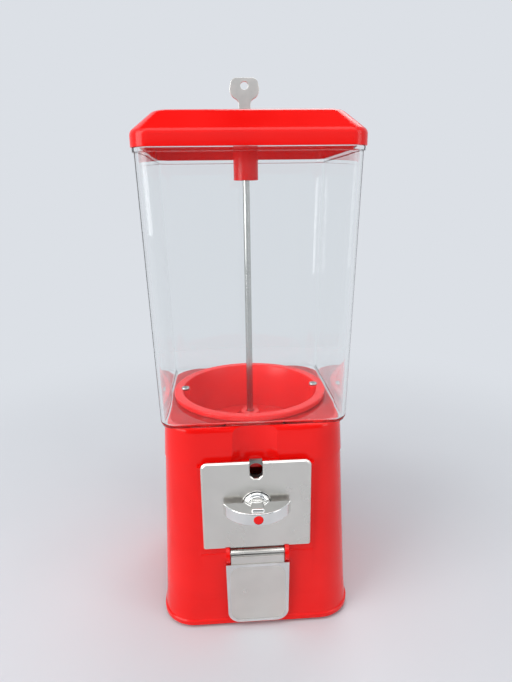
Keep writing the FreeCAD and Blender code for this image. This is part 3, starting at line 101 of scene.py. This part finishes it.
def roughen(tree, shader, source, low, high):
    """Let the roughness run between two values with a pattern."""
    span = add(tree, "ShaderNodeMapRange", {"Value": source.outputs["Fac"]}, interpolation_type="SMOOTHSTEP")
    span.inputs["From Min"].default_value = PATTERN_LOW
    span.inputs["From Max"].default_value = PATTERN_HIGH
    span.inputs["To Min"].default_value = low
    span.inputs["To Max"].default_value = high
    tree.links.new(span.outputs["Result"], shader.inputs["Roughness"])


def bump(tree, shader, height, depth_mm, strength=1.0):
    """Raise the surface by a pattern."""
    relief = add(tree, "ShaderNodeBump", {"Height": height}, Strength=strength, Distance=depth_mm * MM)
    tree.links.new(relief.outputs["Normal"], shader.inputs["Normal"])


def red_enamel():
    """Baked enamel on metal: deep even red under a wet gloss, with a faint orange-peel ripple."""
    material, tree, shader, where = finish_of("baked_red_enamel", IOR=1.5)
    shader.inputs["Specular IOR Level"].default_value = 0.3
    patches = vary(tree, shader, where, 60, "#EA110D", "#F31612")
    roughen(tree, shader, patches, 0.12, 0.18)
    # the ripple of real enamel is shallower; it is drawn deep enough to show
    peel = add(tree, "ShaderNodeTexNoise", {"Vector": where}, Scale=1 / (3.5 * MM), Detail=0.0)
    bump(tree, shader, peel.outputs["Fac"], 0.02, 0.25)
    return material


def red_styrene():
    """Moulded red styrene: a little softer than the enamel, with slow flow marks."""
    material, tree, shader, where = finish_of("moulded_red_styrene", IOR=1.59)
    shader.inputs["Specular IOR Level"].default_value = 0.3
    patches = vary(tree, shader, where, 40, "#E2100D", "#EC1511")
    roughen(tree, shader, patches, 0.16, 0.24)
    grain = add(tree, "ShaderNodeTexNoise", {"Vector": where}, Scale=1 / (1.2 * MM), Detail=1.0)
    bump(tree, shader, grain.outputs["Fac"], 0.01, 0.15)
    return material


def clear_acrylic():
    """Moulded clear acrylic: water-clear, with a slow ripple that bends the reflections a little."""
    material, tree, shader, where = finish_of("clear_moulded_acrylic", IOR=1.49, Roughness=0.01)
    shader.inputs["Transmission Weight"].default_value = 1.0
    shader.inputs["Base Color"].default_value = colour("#FCFDFD")
    shader.inputs["Specular Tint"].default_value = colour("#C4C4C4")
    ripple = add(tree, "ShaderNodeTexNoise", {"Vector": where}, Scale=1 / (45 * MM), Detail=1.0)
    bump(tree, shader, ripple.outputs["Fac"], 0.12, 0.35)
    return material


def satin_nickel():
    """Satin nickel plate on a zinc casting: grey metal with a fine blasted grain and slow cloudiness."""
    material, tree, shader, where = finish_of("satin_nickel_plate", Metallic=1.0)
    patches = vary(tree, shader, where, 30, "#DAD7D1", "#E2DFD9")
    roughen(tree, shader, patches, 0.27, 0.34)
    # the real grain is about 0.1 mm; drawn at 0.6 mm so that it shows
    grain = add(tree, "ShaderNodeTexNoise", {"Vector": where}, Scale=1 / (0.6 * MM), Detail=2.0)
    bump(tree, shader, grain.outputs["Fac"], 0.01, 0.3)
    return material


def polished_chrome():
    """Polished chrome plate: mirror bright, with faint polishing waves."""
    material, tree, shader, where = finish_of("polished_chrome_plate", Metallic=1.0)
    patches = vary(tree, shader, where, 25, "#DCDCDA", "#EAEAE8")
    roughen(tree, shader, patches, 0.05, 0.11)
    waves = add(tree, "ShaderNodeTexNoise", {"Vector": where}, Scale=1 / (6 * MM), Detail=1.0)
    bump(tree, shader, waves.outputs["Fac"], 0.01, 0.2)
    return material


def drawn_steel():
    """Zinc-plated drawn steel: bright grey with fine lines along its length."""
    material, tree, shader, where = finish_of("plated_drawn_steel", Metallic=1.0)
    patches = vary(tree, shader, where, 30, "#BDBDBA", "#C6C6C3")
    roughen(tree, shader, patches, 0.16, 0.24)
    along = add(tree, "ShaderNodeMapping", {"Vector": where}, Scale=(1, 1, 0.05))
    lines = add(tree, "ShaderNodeTexNoise", {"Vector": along.outputs["Vector"]}, Scale=1 / (0.8 * MM))
    bump(tree, shader, lines.outputs["Fac"], 0.004, 0.1)
    return material


def cast_zinc():
    """Zinc as cast: dull mid grey with a sandy skin."""
    material, tree, shader, where = finish_of("zinc_casting", Metallic=1.0)
    patches = vary(tree, shader, where, 10, "#8C8C8A", "#A3A3A0")
    roughen(tree, shader, patches, 0.42, 0.58)
    skin = add(tree, "ShaderNodeTexNoise", {"Vector": where}, Scale=1 / (0.9 * MM), Detail=3.0)
    bump(tree, shader, skin.outputs["Fac"], 0.05, 0.6)
    return material


def galvanised_sheet():
    """Galvanised sheet: grey with the flaky patches that zinc crystals leave."""
    material, tree, shader, where = finish_of("galvanised_sheet_steel", Metallic=1.0)
    flakes = add(tree, "ShaderNodeTexVoronoi", {"Vector": where}, Scale=1 / (7 * MM))
    tones = add(tree, "ShaderNodeValToRGB", {"Fac": flakes.outputs["Color"]})
    tones.color_ramp.elements[0].color = colour("#92979A")
    tones.color_ramp.elements[1].color = colour("#B3B7B9")
    tree.links.new(tones.outputs["Color"], shader.inputs["Base Color"])
    patches = add(tree, "ShaderNodeTexNoise", {"Vector": where}, Scale=1 / (7 * MM))
    roughen(tree, shader, patches, 0.35, 0.5)
    return material


def worn_nickel():
    """A used key: nickel over brass, pale warm grey, scuffed dull with fine scratches."""
    material, tree, shader, where = finish_of("worn_nickel_key", Metallic=1.0)
    patches = vary(tree, shader, where, 8, "#D8D6D0", "#E2E0DA")
    roughen(tree, shader, patches, 0.3, 0.36)
    along = add(tree, "ShaderNodeMapping", {"Vector": where}, Scale=(1, 1, 0.15), Rotation=(0, 0.5, 0))
    scratches = add(
        tree, "ShaderNodeTexNoise", {"Vector": along.outputs["Vector"]}, Scale=1 / (1.0 * MM), Detail=2.0)
    bump(tree, shader, scratches.outputs["Fac"], 0.002, 0.1)
    return material


def turned_brass():
    """Turned brass: yellow metal, a little tarnished in places."""
    material, tree, shader, where = finish_of("turned_brass", Metallic=1.0)
    patches = vary(tree, shader, where, 6, "#B58F45", "#CBA65A")
    roughen(tree, shader, patches, 0.2, 0.34)
    return material


def black_rubber():
    """Moulded black rubber: matt, with a dusty bloom."""
    material, tree, shader, where = finish_of("moulded_black_rubber", IOR=1.52)
    patches = vary(tree, shader, where, 4, "#161616", "#222222")
    roughen(tree, shader, patches, 0.7, 0.85)
    return material


FINISHES = {
    "red_enamel": red_enamel(),
    "red_plastic": red_styrene(),
    "clear_globe": clear_acrylic(),
    "satin_nickel": satin_nickel(),
    "chrome": polished_chrome(),
    "bright_steel": drawn_steel(),
    "cast_zinc": cast_zinc(),
    "galvanised_sheet": galvanised_sheet(),
    "key_nickel": worn_nickel(),
    "lock_brass": turned_brass(),
    "black_rubber": black_rubber(),
}
SLOT_OF = {item["node"]: item["material_slot"] for item in frame["record"]["subparts"]}
BODY_OF = {node: body for body, members in frame["record"]["behaviour"]["bodies"].items() for node in members}


def wear(piece, finish):
    """Give a piece one finish all over."""
    piece.data.materials.clear()
    piece.data.materials.append(finish)


def polish(piece, test):
    """Give the faces that a test accepts a polished chrome finish."""
    piece.data.materials.append(FINISHES["chrome"])
    for face in piece.data.polygons:
        if test(face):
            face.material_index = 1


for node_name, node_object in nodes.items():
    wear(node_object, FINISHES[SLOT_OF[node_name]])


# Modelling

def start():
    """Leave edit mode with nothing selected."""
    if bpy.context.mode != "OBJECT":
        bpy.ops.object.mode_set(mode="OBJECT")
    bpy.ops.object.select_all(action="DESELECT")


def take(piece):
    """Select one piece alone and make it the active one."""
    start()
    piece.select_set(True)
    bpy.context.view_layer.objects.active = piece


def choose(piece, kind, test):
    """In edit mode, select the vertices, edges or faces that the test accepts, and nothing else."""
    bpy.ops.mesh.select_mode(type={"verts": "VERT", "edges": "EDGE", "faces": "FACE"}[kind])
    bpy.ops.mesh.select_all(action="DESELECT")
    mesh = bmesh.from_edit_mesh(piece.data)
    for element in getattr(mesh, kind):
        if test(element):
            element.select_set(True)
    bmesh.update_edit_mesh(piece.data)


def at_height(height_mm):
    """A test for edges that lie level at a height."""
    return lambda edge: all(abs(corner.co.z - height_mm * MM) < NEAR for corner in edge.verts)


def upright(edge):
    """A test for edges that stand straight up."""
    way = edge.verts[1].co - edge.verts[0].co
    return math.hypot(way.x, way.y) < 1e-6


def block(name, low, high):
    """Start a piece as a box between two corners in millimetres, open in edit mode."""
    start()
    middle = [(a + b) / 2 * MM for a, b in zip(low, high)]
    bpy.ops.mesh.primitive_cube_add(size=1.0, location=middle)
    piece = bpy.context.object
    piece.name = name
    piece.scale = [(b - a) * MM for a, b in zip(low, high)]
    bpy.ops.object.transform_apply()
    bpy.ops.object.mode_set(mode="EDIT")
    return piece


def turned(name, rings, steps=96):
    """A round piece about the upright axis: a circle drawn out from ring to ring (radius, height in mm)."""
    start()
    radius, height = rings[0]
    bpy.ops.mesh.primitive_circle_add(vertices=steps, radius=radius * MM, location=(0, 0, height * MM))
    piece = bpy.context.object
    piece.name = name
    bpy.ops.object.transform_apply()
    bpy.ops.object.mode_set(mode="EDIT")
    bpy.ops.mesh.select_mode(type="VERT")
    bpy.ops.mesh.select_all(action="SELECT")
    for next_radius, next_height in rings[1:]:
        rise = (0, 0, (next_height - height) * MM)
        bpy.ops.mesh.extrude_region_move(TRANSFORM_OT_translate={"value": rise})
        share = next_radius / radius
        bpy.ops.transform.resize(value=(share, share, 1))
        radius, height = next_radius, next_height
    bpy.ops.mesh.select_all(action="SELECT")
    bpy.ops.mesh.remove_doubles(threshold=NEAR)
    bpy.ops.mesh.normals_make_consistent(inside=False)
    return piece


def peg(name, radius, low, high, steps=64):
    """A closed round peg between two heights, as a cutter."""
    return turned(name, [(POLE, low), (radius, low), (radius, high), (POLE, high)], steps)


def to_front(piece, height_mm):
    """Turn a round piece to the front at a height: its own height becomes its distance from the rod."""
    take(piece)
    piece.rotation_euler = (math.pi / 2, 0, 0)
    piece.location = (0, 0, height_mm * MM)
    bpy.ops.object.transform_apply()


def shift(piece, x, y, z):
    """Move a piece by millimetres, in its mesh."""
    take(piece)
    piece.location = (x * MM, y * MM, z * MM)
    bpy.ops.object.transform_apply()


def apply(piece, modifier):
    """Apply a piece's modifier."""
    take(piece)
    bpy.ops.object.modifier_apply(modifier=modifier.name)


def soften(piece, width_mm, segments=3, angle=32, smooth=40):
    """Round a piece's sharp edges and shade the rest smooth, with its broad faces kept flat."""
    start()
    rounding = piece.modifiers.new("edge_round", "BEVEL")
    rounding.width = width_mm * MM
    rounding.segments = segments
    rounding.limit_method = "ANGLE"
    rounding.angle_limit = math.radians(angle)
    apply(piece, rounding)
    bpy.ops.object.shade_smooth_by_angle(angle=math.radians(smooth))
    evening = piece.modifiers.new("flat_faces", "WEIGHTED_NORMAL")
    evening.weight = 100
    evening.keep_sharp = True
    apply(piece, evening)


def thicken(piece, wall_mm):
    """Give an open skin a wall that grows inwards."""
    start()
    wall = piece.modifiers.new("wall", "SOLIDIFY")
    wall.thickness = wall_mm * MM
    wall.use_even_offset = True
    apply(piece, wall)


def carve(piece, cutter):
    """Cut one piece out of another and throw the cutter away."""
    start()
    hole = piece.modifiers.new("hole", "BOOLEAN")
    hole.operation = "DIFFERENCE"
    hole.solver = "EXACT"
    hole.object = cutter
    apply(piece, hole)
    bpy.data.objects.remove(cutter)


def join(piece, *others):
    """Make several pieces one."""
    start()
    for other in others:
        other.select_set(True)
    piece.select_set(True)
    bpy.context.view_layer.objects.active = piece
    bpy.ops.object.join()


def settle(piece, node_name):
    """Let a finished piece stand for a CAD node: same body, same finish."""
    start()
    wear(piece, FINISHES[SLOT_OF[node_name]])
    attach(piece, BODY_OF[node_name])
    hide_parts(node_name)


def softened(node_name, width_mm, segments=2, smooth=40):
    """A merged copy of a CAD piece with its sharp edges eased, in the CAD piece's place."""
    start()
    piece = bpy.data.objects.new(f"{node_name}_eased", nodes[node_name].data.copy())
    bpy.context.scene.collection.objects.link(piece)
    take(piece)
    bpy.ops.object.mode_set(mode="EDIT")
    bpy.ops.mesh.select_all(action="SELECT")
    bpy.ops.mesh.remove_doubles(threshold=1e-6)
    bpy.ops.mesh.dissolve_limited(angle_limit=math.radians(0.3))
    soften(piece, width_mm, segments, smooth=smooth)
    settle(piece, node_name)
    return piece


# Pieces

SHAFT_HEIGHT = 121.5
FLOOR_HEIGHT = -2.5
LID_LOW, LID_CREASE, LID_TOP = 404.7, 415.2, 430.6
RIM_TOP = 195.4
SCREW_OFFSET = 61


def lid_cap():
    """The lid: a pressed square cap with a flat skirt, broad slopes and soft edges, open below."""
    half, top_half, corner, wall, bore = 85, 69, 14, 2.6, 8.4
    piece = block("lid_cap", (-half, -half, LID_LOW), (half, half, LID_CREASE))
    choose(piece, "edges", upright)
    bpy.ops.mesh.bevel(offset=corner * MM, segments=10, affect="EDGES")
    choose(piece, "faces", lambda face: face.normal.z > 0.9)
    rise = (0, 0, (LID_TOP - LID_CREASE) * MM)
    bpy.ops.mesh.extrude_region_move(TRANSFORM_OT_translate={"value": rise})
    bpy.ops.transform.resize(value=(top_half / half, top_half / half, 1))
    choose(piece, "faces", lambda face: face.normal.z < -0.9)
    bpy.ops.mesh.delete(type="FACE")
    for height, round_mm in ((LID_CREASE, 2.4), (LID_TOP, 3.0)):
        choose(piece, "edges", at_height(height))
        bpy.ops.mesh.bevel(offset=round_mm * MM, segments=5, affect="EDGES")
    thicken(piece, wall)
    carve(piece, peg("lock_bore", bore, 420, 440))
    soften(piece, 0.6, 2, 50)
    settle(piece, "lid")


def hopper_ring():
    """The hopper: a broad rolled rim over a tapering bowl and the drum round the gum wheel."""
    seat, knee, floor_top, floor_low = 190.8, 155.0, 127.9, 124.9
    rim, mouth, neck, drum, drum_out, rod_bore = 71.1, 63.1, 65.5, 54.5, 56.5, 3.3
    piece = turned("hopper_ring", [
        (rim, seat), (rim, RIM_TOP), (mouth, RIM_TOP), (drum, knee), (drum, floor_top), (rod_bore, floor_top),
        (rod_bore, floor_low), (drum_out, floor_low), (drum_out, knee), (neck, seat), (rim, seat),
    ], 128)
    soften(piece, 1.0, 4)
    post_out, post_bore, post_foot = 4.6, 1.0, 160
    post_top = RIM_TOP - 1.0
    posts = []
    for side in (-1, 1):
        post = turned(f"post_{side}", [
            (post_out, post_foot), (post_out, post_top), (post_bore, post_top), (post_bore, post_foot),
            (post_out, post_foot),
        ], 40)
        soften(post, 0.6)
        shift(post, side * SCREW_OFFSET, 0, 0)
        posts.append(post)
    join(piece, *posts)
    settle(piece, "hopper_bowl")


def hopper_screw_heads():
    """Two pan-head screws with a cross recess, on the hopper's rim."""
    top, shank, shank_end = 197.0, 1.6, 152.0
    slot_half, slot_side, slot_depth, slot_turn = 2.2, 0.45, 1.1, 0.3
    head = [(POLE, 0), (2.4, 0.1), (3.5, 0.45), (3.9, 1.1), (3.9, 2.2), (shank, 2.2)]
    rings = [(radius, top - drop) for radius, drop in head] + [(shank, shank_end), (POLE, shank_end)]
    screws = []
    for number, side in enumerate((-1, 1)):
        screw = turned(f"hopper_screw_{number}", rings, 48)
        soften(screw, 0.15, 2, 50)
        for name, turn in (("slot_a", slot_turn), ("slot_b", slot_turn + math.pi / 2)):
            slot = block(name, (-slot_half, -slot_side, -slot_depth), (slot_half, slot_side, 1.0))
            take(slot)
            slot.rotation_euler = (0, 0, turn)
            slot.location = (0, 0, top * MM)
            bpy.ops.object.transform_apply()
            carve(screw, slot)
        shift(screw, side * SCREW_OFFSET, 0, 0)
        screws.append(screw)
    join(*screws)
    settle(screws[0], "hopper_screws")


def crank_handle():
    """The handle: a polished half-moon, a raised rib over the shaft and a seat for the red button."""
    back, front, half, thick = 90.0, 108.0, 28.2, 10.7
    rib_half, rib_rise, rib_back, rib_front = 5.3, 7.4, 89.8, 104.2
    rise = front - back
    arc = (half * half + rise * rise) / (2 * rise)
    start()
    bpy.ops.mesh.primitive_cylinder_add(
        vertices=160, radius=arc * MM, depth=thick * MM, location=(0, (arc - front) * MM, SHAFT_HEIGHT * MM))
    piece = bpy.context.object
    piece.name = "handle_moon"
    bpy.ops.object.transform_apply()
    bpy.ops.object.mode_set(mode="EDIT")
    bpy.ops.mesh.select_all(action="SELECT")
    bpy.ops.mesh.bisect(plane_co=(0, -back * MM, 0), plane_no=(0, 1, 0), clear_outer=True, use_fill=True)
    soften(piece, 1.7, 5)
    rib_low = (-rib_half, -rib_front, SHAFT_HEIGHT - rib_rise)
    rib = block("handle_rib", rib_low, (rib_half, -rib_back, SHAFT_HEIGHT + rib_rise))
    soften(rib, 1.3, 4)
    bore = peg("shaft_bore", 4.05, 85, 103)
    to_front(bore, SHAFT_HEIGHT)
    carve(rib, bore)
    join(piece, rib)
    seat = peg("button_seat", 4.0, 104.3, 112)
    to_front(seat, SHAFT_HEIGHT)
    carve(piece, seat)
    settle(piece, "handle")


def shaft_collar():
    """The turned collar on the plate: a flange, two steps and a domed nose."""
    bore, back, nose = 4.1, 82.4, 89.5
    piece = turned("shaft_collar", [
        (bore, back), (5.9, back), (5.9, 85.4), (13.0, 85.4), (13.0, 86.5), (11.9, 86.9), (11.5, 86.7),
        (11.0, 87.6), (9.8, 88.5), (9.4, 88.4), (9.0, 89.2), (8.0, nose), (bore, nose), (bore, back),
    ])
    soften(piece, 0.25, 2, 20)
    to_front(piece, SHAFT_HEIGHT)
    settle(piece, "shaft_bushing")


def lock_flange():
    """The lock's barrel: a stepped flange on the lid over a plain tube."""
    bore, tube, foot = 5.6, 8.3, 413.2
    piece = turned("lock_flange", [
        (bore, foot), (tube, foot), (tube, LID_TOP), (11.5, LID_TOP), (11.5, 431.8), (10.2, 432.4),
        (7.4, 432.8), (6.2, 432.8), (bore, 432.2), (bore, foot),
    ], 80)
    soften(piece, 0.3, 2, 20)
    settle(piece, "lock_barrel")


def key_blank():
    """The key: a plain rounded bow with a ring hole, a short stem, and the blade that stands in the lock."""
    thick, hole_radius, hole_height = 2.0, 3.0, 457.7
    stem_top, bow_wide, bow_top = 445.9, 451.2, 463.7
    rises = [(4.0, 433.0), (5.0, 433.3), (5.0, stem_top), (13.2, bow_wide), (10.6, bow_top)]
    half, height = 4.0, 416.8
    start()
    bpy.ops.mesh.primitive_plane_add(size=2 * half * MM, rotation=(math.pi / 2, 0, 0))
    piece = bpy.context.object
    piece.name = "key_blank"
    piece.location = (0, -thick / 2 * MM, (height + half) * MM)
    bpy.ops.object.transform_apply()
    bpy.ops.object.mode_set(mode="EDIT")
    height += 2 * half
    choose(piece, "edges", at_height(height))
    for next_half, next_height in rises:
        rise = (0, 0, (next_height - height) * MM)
        bpy.ops.mesh.extrude_region_move(TRANSFORM_OT_translate={"value": rise})
        bpy.ops.transform.resize(value=(next_half / half, 1, 1))
        half, height = next_half, next_height
    bpy.ops.mesh.select_all(action="SELECT")
    bpy.ops.mesh.dissolve_limited(angle_limit=math.radians(1))
    for corner_height, reach in ((bow_top, 4.0), (bow_wide, 5.0), (stem_top, 2.2)):
        choose(piece, "verts", lambda corner: abs(corner.co.z - corner_height * MM) < NEAR)
        bpy.ops.mesh.bevel(offset=reach * MM, segments=8, affect="VERTICES")
    bpy.ops.mesh.select_mode(type="FACE")
    bpy.ops.mesh.select_all(action="SELECT")
    bpy.ops.mesh.extrude_region_move(TRANSFORM_OT_translate={"value": (0, thick * MM, 0)})
    bpy.ops.mesh.select_all(action="SELECT")
    bpy.ops.mesh.normals_make_consistent(inside=False)
    hole = peg("ring_hole", hole_radius, -4, 4, 48)
    to_front(hole, hole_height)
    carve(piece, hole)
    soften(piece, 0.4)
    settle(piece, "key")


def trimmed_frame():
    """The frame behind the plate: it shows in the notch alone, so its top is cut away at both sides."""
    notch_half, reach, front, back, low, high = 5.4, 16, -86, -70, 156, 165
    piece = softened("mech_frame", 0.3)
    for left, right in ((-reach, -notch_half), (notch_half, reach)):
        carve(piece, block("side_cut", (left, front, low), (right, back, high)))


def rubbed_flap():
    """The flap, with its raised rim rubbed bright."""
    low_part, rim_top, rim_depth = 50, 64, 0.5
    piece = softened("chute_flap", 0.3, smooth=20)
    rim_front = min(corner.co.y for corner in piece.data.vertices if corner.co.z < low_part * MM)
    rim_back = rim_front + rim_depth * MM
    polish(piece, lambda face: face.center.y < rim_back and face.center.z < rim_top * MM)


lid_cap()
hopper_ring()
hopper_screw_heads()
crank_handle()
shaft_collar()
lock_flange()
key_blank()
for eased_node, ease_mm in (
    ("base_casting", 0.5), ("body_shell", 0.5), ("top_collar", 0.5), ("lid_boss", 0.5), ("gum_wheel", 0.6),
    ("gum_hub", 0.4), ("chute", 0.3),
):
    softened(eased_node, ease_mm)
# the clear walls let the window's light in
softened("globe", 0.5).visible_shadow = False
softened("coin_plate", 0.3)
trimmed_frame()
rubbed_flap()


# Floor, light and camera

BACKDROP = "#DCE0E6"


def plainly_seen(tree):
    """1 for what the camera sees straight, in metal or through glass, else 0."""
    rays = add(tree, "ShaderNodeLightPath").outputs
    either = add(tree, "ShaderNodeMath", operation="MAXIMUM")
    tree.links.new(rays["Is Camera Ray"], either.inputs[0])
    tree.links.new(rays["Is Glossy Ray"], either.inputs[1])
    any_of = add(tree, "ShaderNodeMath", operation="MAXIMUM")
    tree.links.new(either.outputs["Value"], any_of.inputs[0])
    tree.links.new(rays["Is Transmission Ray"], any_of.inputs[1])
    return any_of.outputs["Value"]


def pale_floor():
    """A pale floor that keeps the machine's shadow and fades into the backdrop further out."""
    radius, fade_from, fade_to = 4.0, 0.12, 0.8
    start()
    place = (0, 0, FLOOR_HEIGHT * MM)
    bpy.ops.mesh.primitive_circle_add(vertices=128, radius=radius, fill_type="NGON", location=place)
    floor = bpy.context.object
    floor.name = "studio_floor"
    bpy.ops.object.transform_apply()
    material, tree, shader, where = finish_of("pale_studio_floor", Roughness=0.7)
    vary(tree, shader, where, 300, "#D2D4D8", "#D6D8DC")
    reach = add(tree, "ShaderNodeVectorMath", {"Vector": where}, operation="LENGTH")
    far = add(tree, "ShaderNodeMapRange", {"Value": reach.outputs["Value"]}, interpolation_type="SMOOTHSTEP")
    far.inputs["From Min"].default_value = fade_from
    far.inputs["From Max"].default_value = fade_to
    share = add(tree, "ShaderNodeMath", operation="MULTIPLY")
    tree.links.new(far.outputs["Result"], share.inputs[0])
    tree.links.new(plainly_seen(tree), share.inputs[1])
    glow = add(tree, "ShaderNodeEmission", Color=colour(BACKDROP))
    mix = add(tree, "ShaderNodeMixShader", {"Fac": share.outputs["Value"]})
    tree.links.new(shader.outputs["BSDF"], mix.inputs[1])
    tree.links.new(glow.outputs["Emission"], mix.inputs[2])
    tree.links.new(mix.outputs["Shader"], tree.nodes["Material Output"].inputs["Surface"])
    wear(floor, material)


def dark_cards():
    """Two dark cards that only gloss shows: they keep the enamel deep and give the metal its contrast."""
    card_size = 1.4
    material, tree, shader, where = finish_of("black_card", Roughness=0.9)
    vary(tree, shader, where, 50, "#1C1C1E", "#222224")
    for name, place, lean in (
        ("card_front", (0, -0.8, -0.24), math.pi / 2),
        ("card_above", (0, 0.3, 1.7), 0),
    ):
        start()
        bpy.ops.mesh.primitive_plane_add(size=card_size, location=place, rotation=(lean, 0, 0))
        card = bpy.context.object
        card.name = name
        bpy.ops.object.transform_apply()
        wear(card, material)
        card.visible_camera = False
        card.visible_diffuse = False
        card.visible_shadow = False
        card.visible_transmission = False


def pale_room():
    """The room: the plain backdrop where it is seen, and half as bright as a light."""
    lighting_strength = 0.5
    world = bpy.data.worlds.new("studio_room")
    bpy.context.scene.world = world
    world.use_nodes = True
    tree = world.node_tree
    back = tree.nodes["Background"]
    back.inputs["Color"].default_value = colour(BACKDROP)
    level = add(tree, "ShaderNodeMapRange", {"Value": plainly_seen(tree)})
    level.inputs["To Min"].default_value = lighting_strength
    tree.links.new(level.outputs["Result"], back.inputs["Strength"])


def lamps():
    """A soft window on the left, a panel under the ceiling, and two fills."""
    aim = Vector((0, 0, 0.2))
    # a fill would show as a white panel through the globe in views from behind, so glass doesn't show it
    for name, place, size, watts, through_glass in (
        ("window_left", (-1.1, -0.7, 0.75), (0.9, 1.3), 14.0, True),
        ("fill_right", (1.2, -0.8, 0.6), (0.5, 1.2), 4.0, False),
        ("ceiling_front", (0.0, -0.5, 1.5), (1.4, 0.9), 7.0, True),
        ("fill_back", (0.4, 1.0, 1.5), (0.8, 0.8), 6.0, False),
    ):
        lamp = bpy.data.lights.new(name, "AREA")
        lamp.shape = "RECTANGLE"
        lamp.size, lamp.size_y = size
        lamp.energy = watts
        holder = bpy.data.objects.new(name, lamp)
        bpy.context.scene.collection.objects.link(holder)
        holder.location = place
        holder.rotation_euler = (aim - Vector(place)).to_track_quat("-Z", "Y").to_euler()
        holder.visible_transmission = through_glass


def photo_camera():
    """The camera, fitted to the photograph."""
    place, heading, tilt, roll = (-0.02263, -0.46723, 0.37309), -3.59, 74.09, -0.82
    lens = bpy.data.cameras.new("photo_camera")
    lens.sensor_width = 36.0
    lens.lens = 27.44
    camera = bpy.data.objects.new("photo_camera", lens)
    bpy.context.scene.collection.objects.link(camera)
    turn = Matrix.Rotation(math.radians(heading), 4, "Z") @ Matrix.Rotation(math.radians(tilt), 4, "X")
    turn = turn @ Matrix.Rotation(math.radians(roll), 4, "Z")
    camera.matrix_world = Matrix.Translation(place) @ turn
    bpy.context.scene.camera = camera


pale_floor()
dark_cards()
pale_room()
lamps()
photo_camera()
bpy.context.scene.view_settings.view_transform = "Standard"
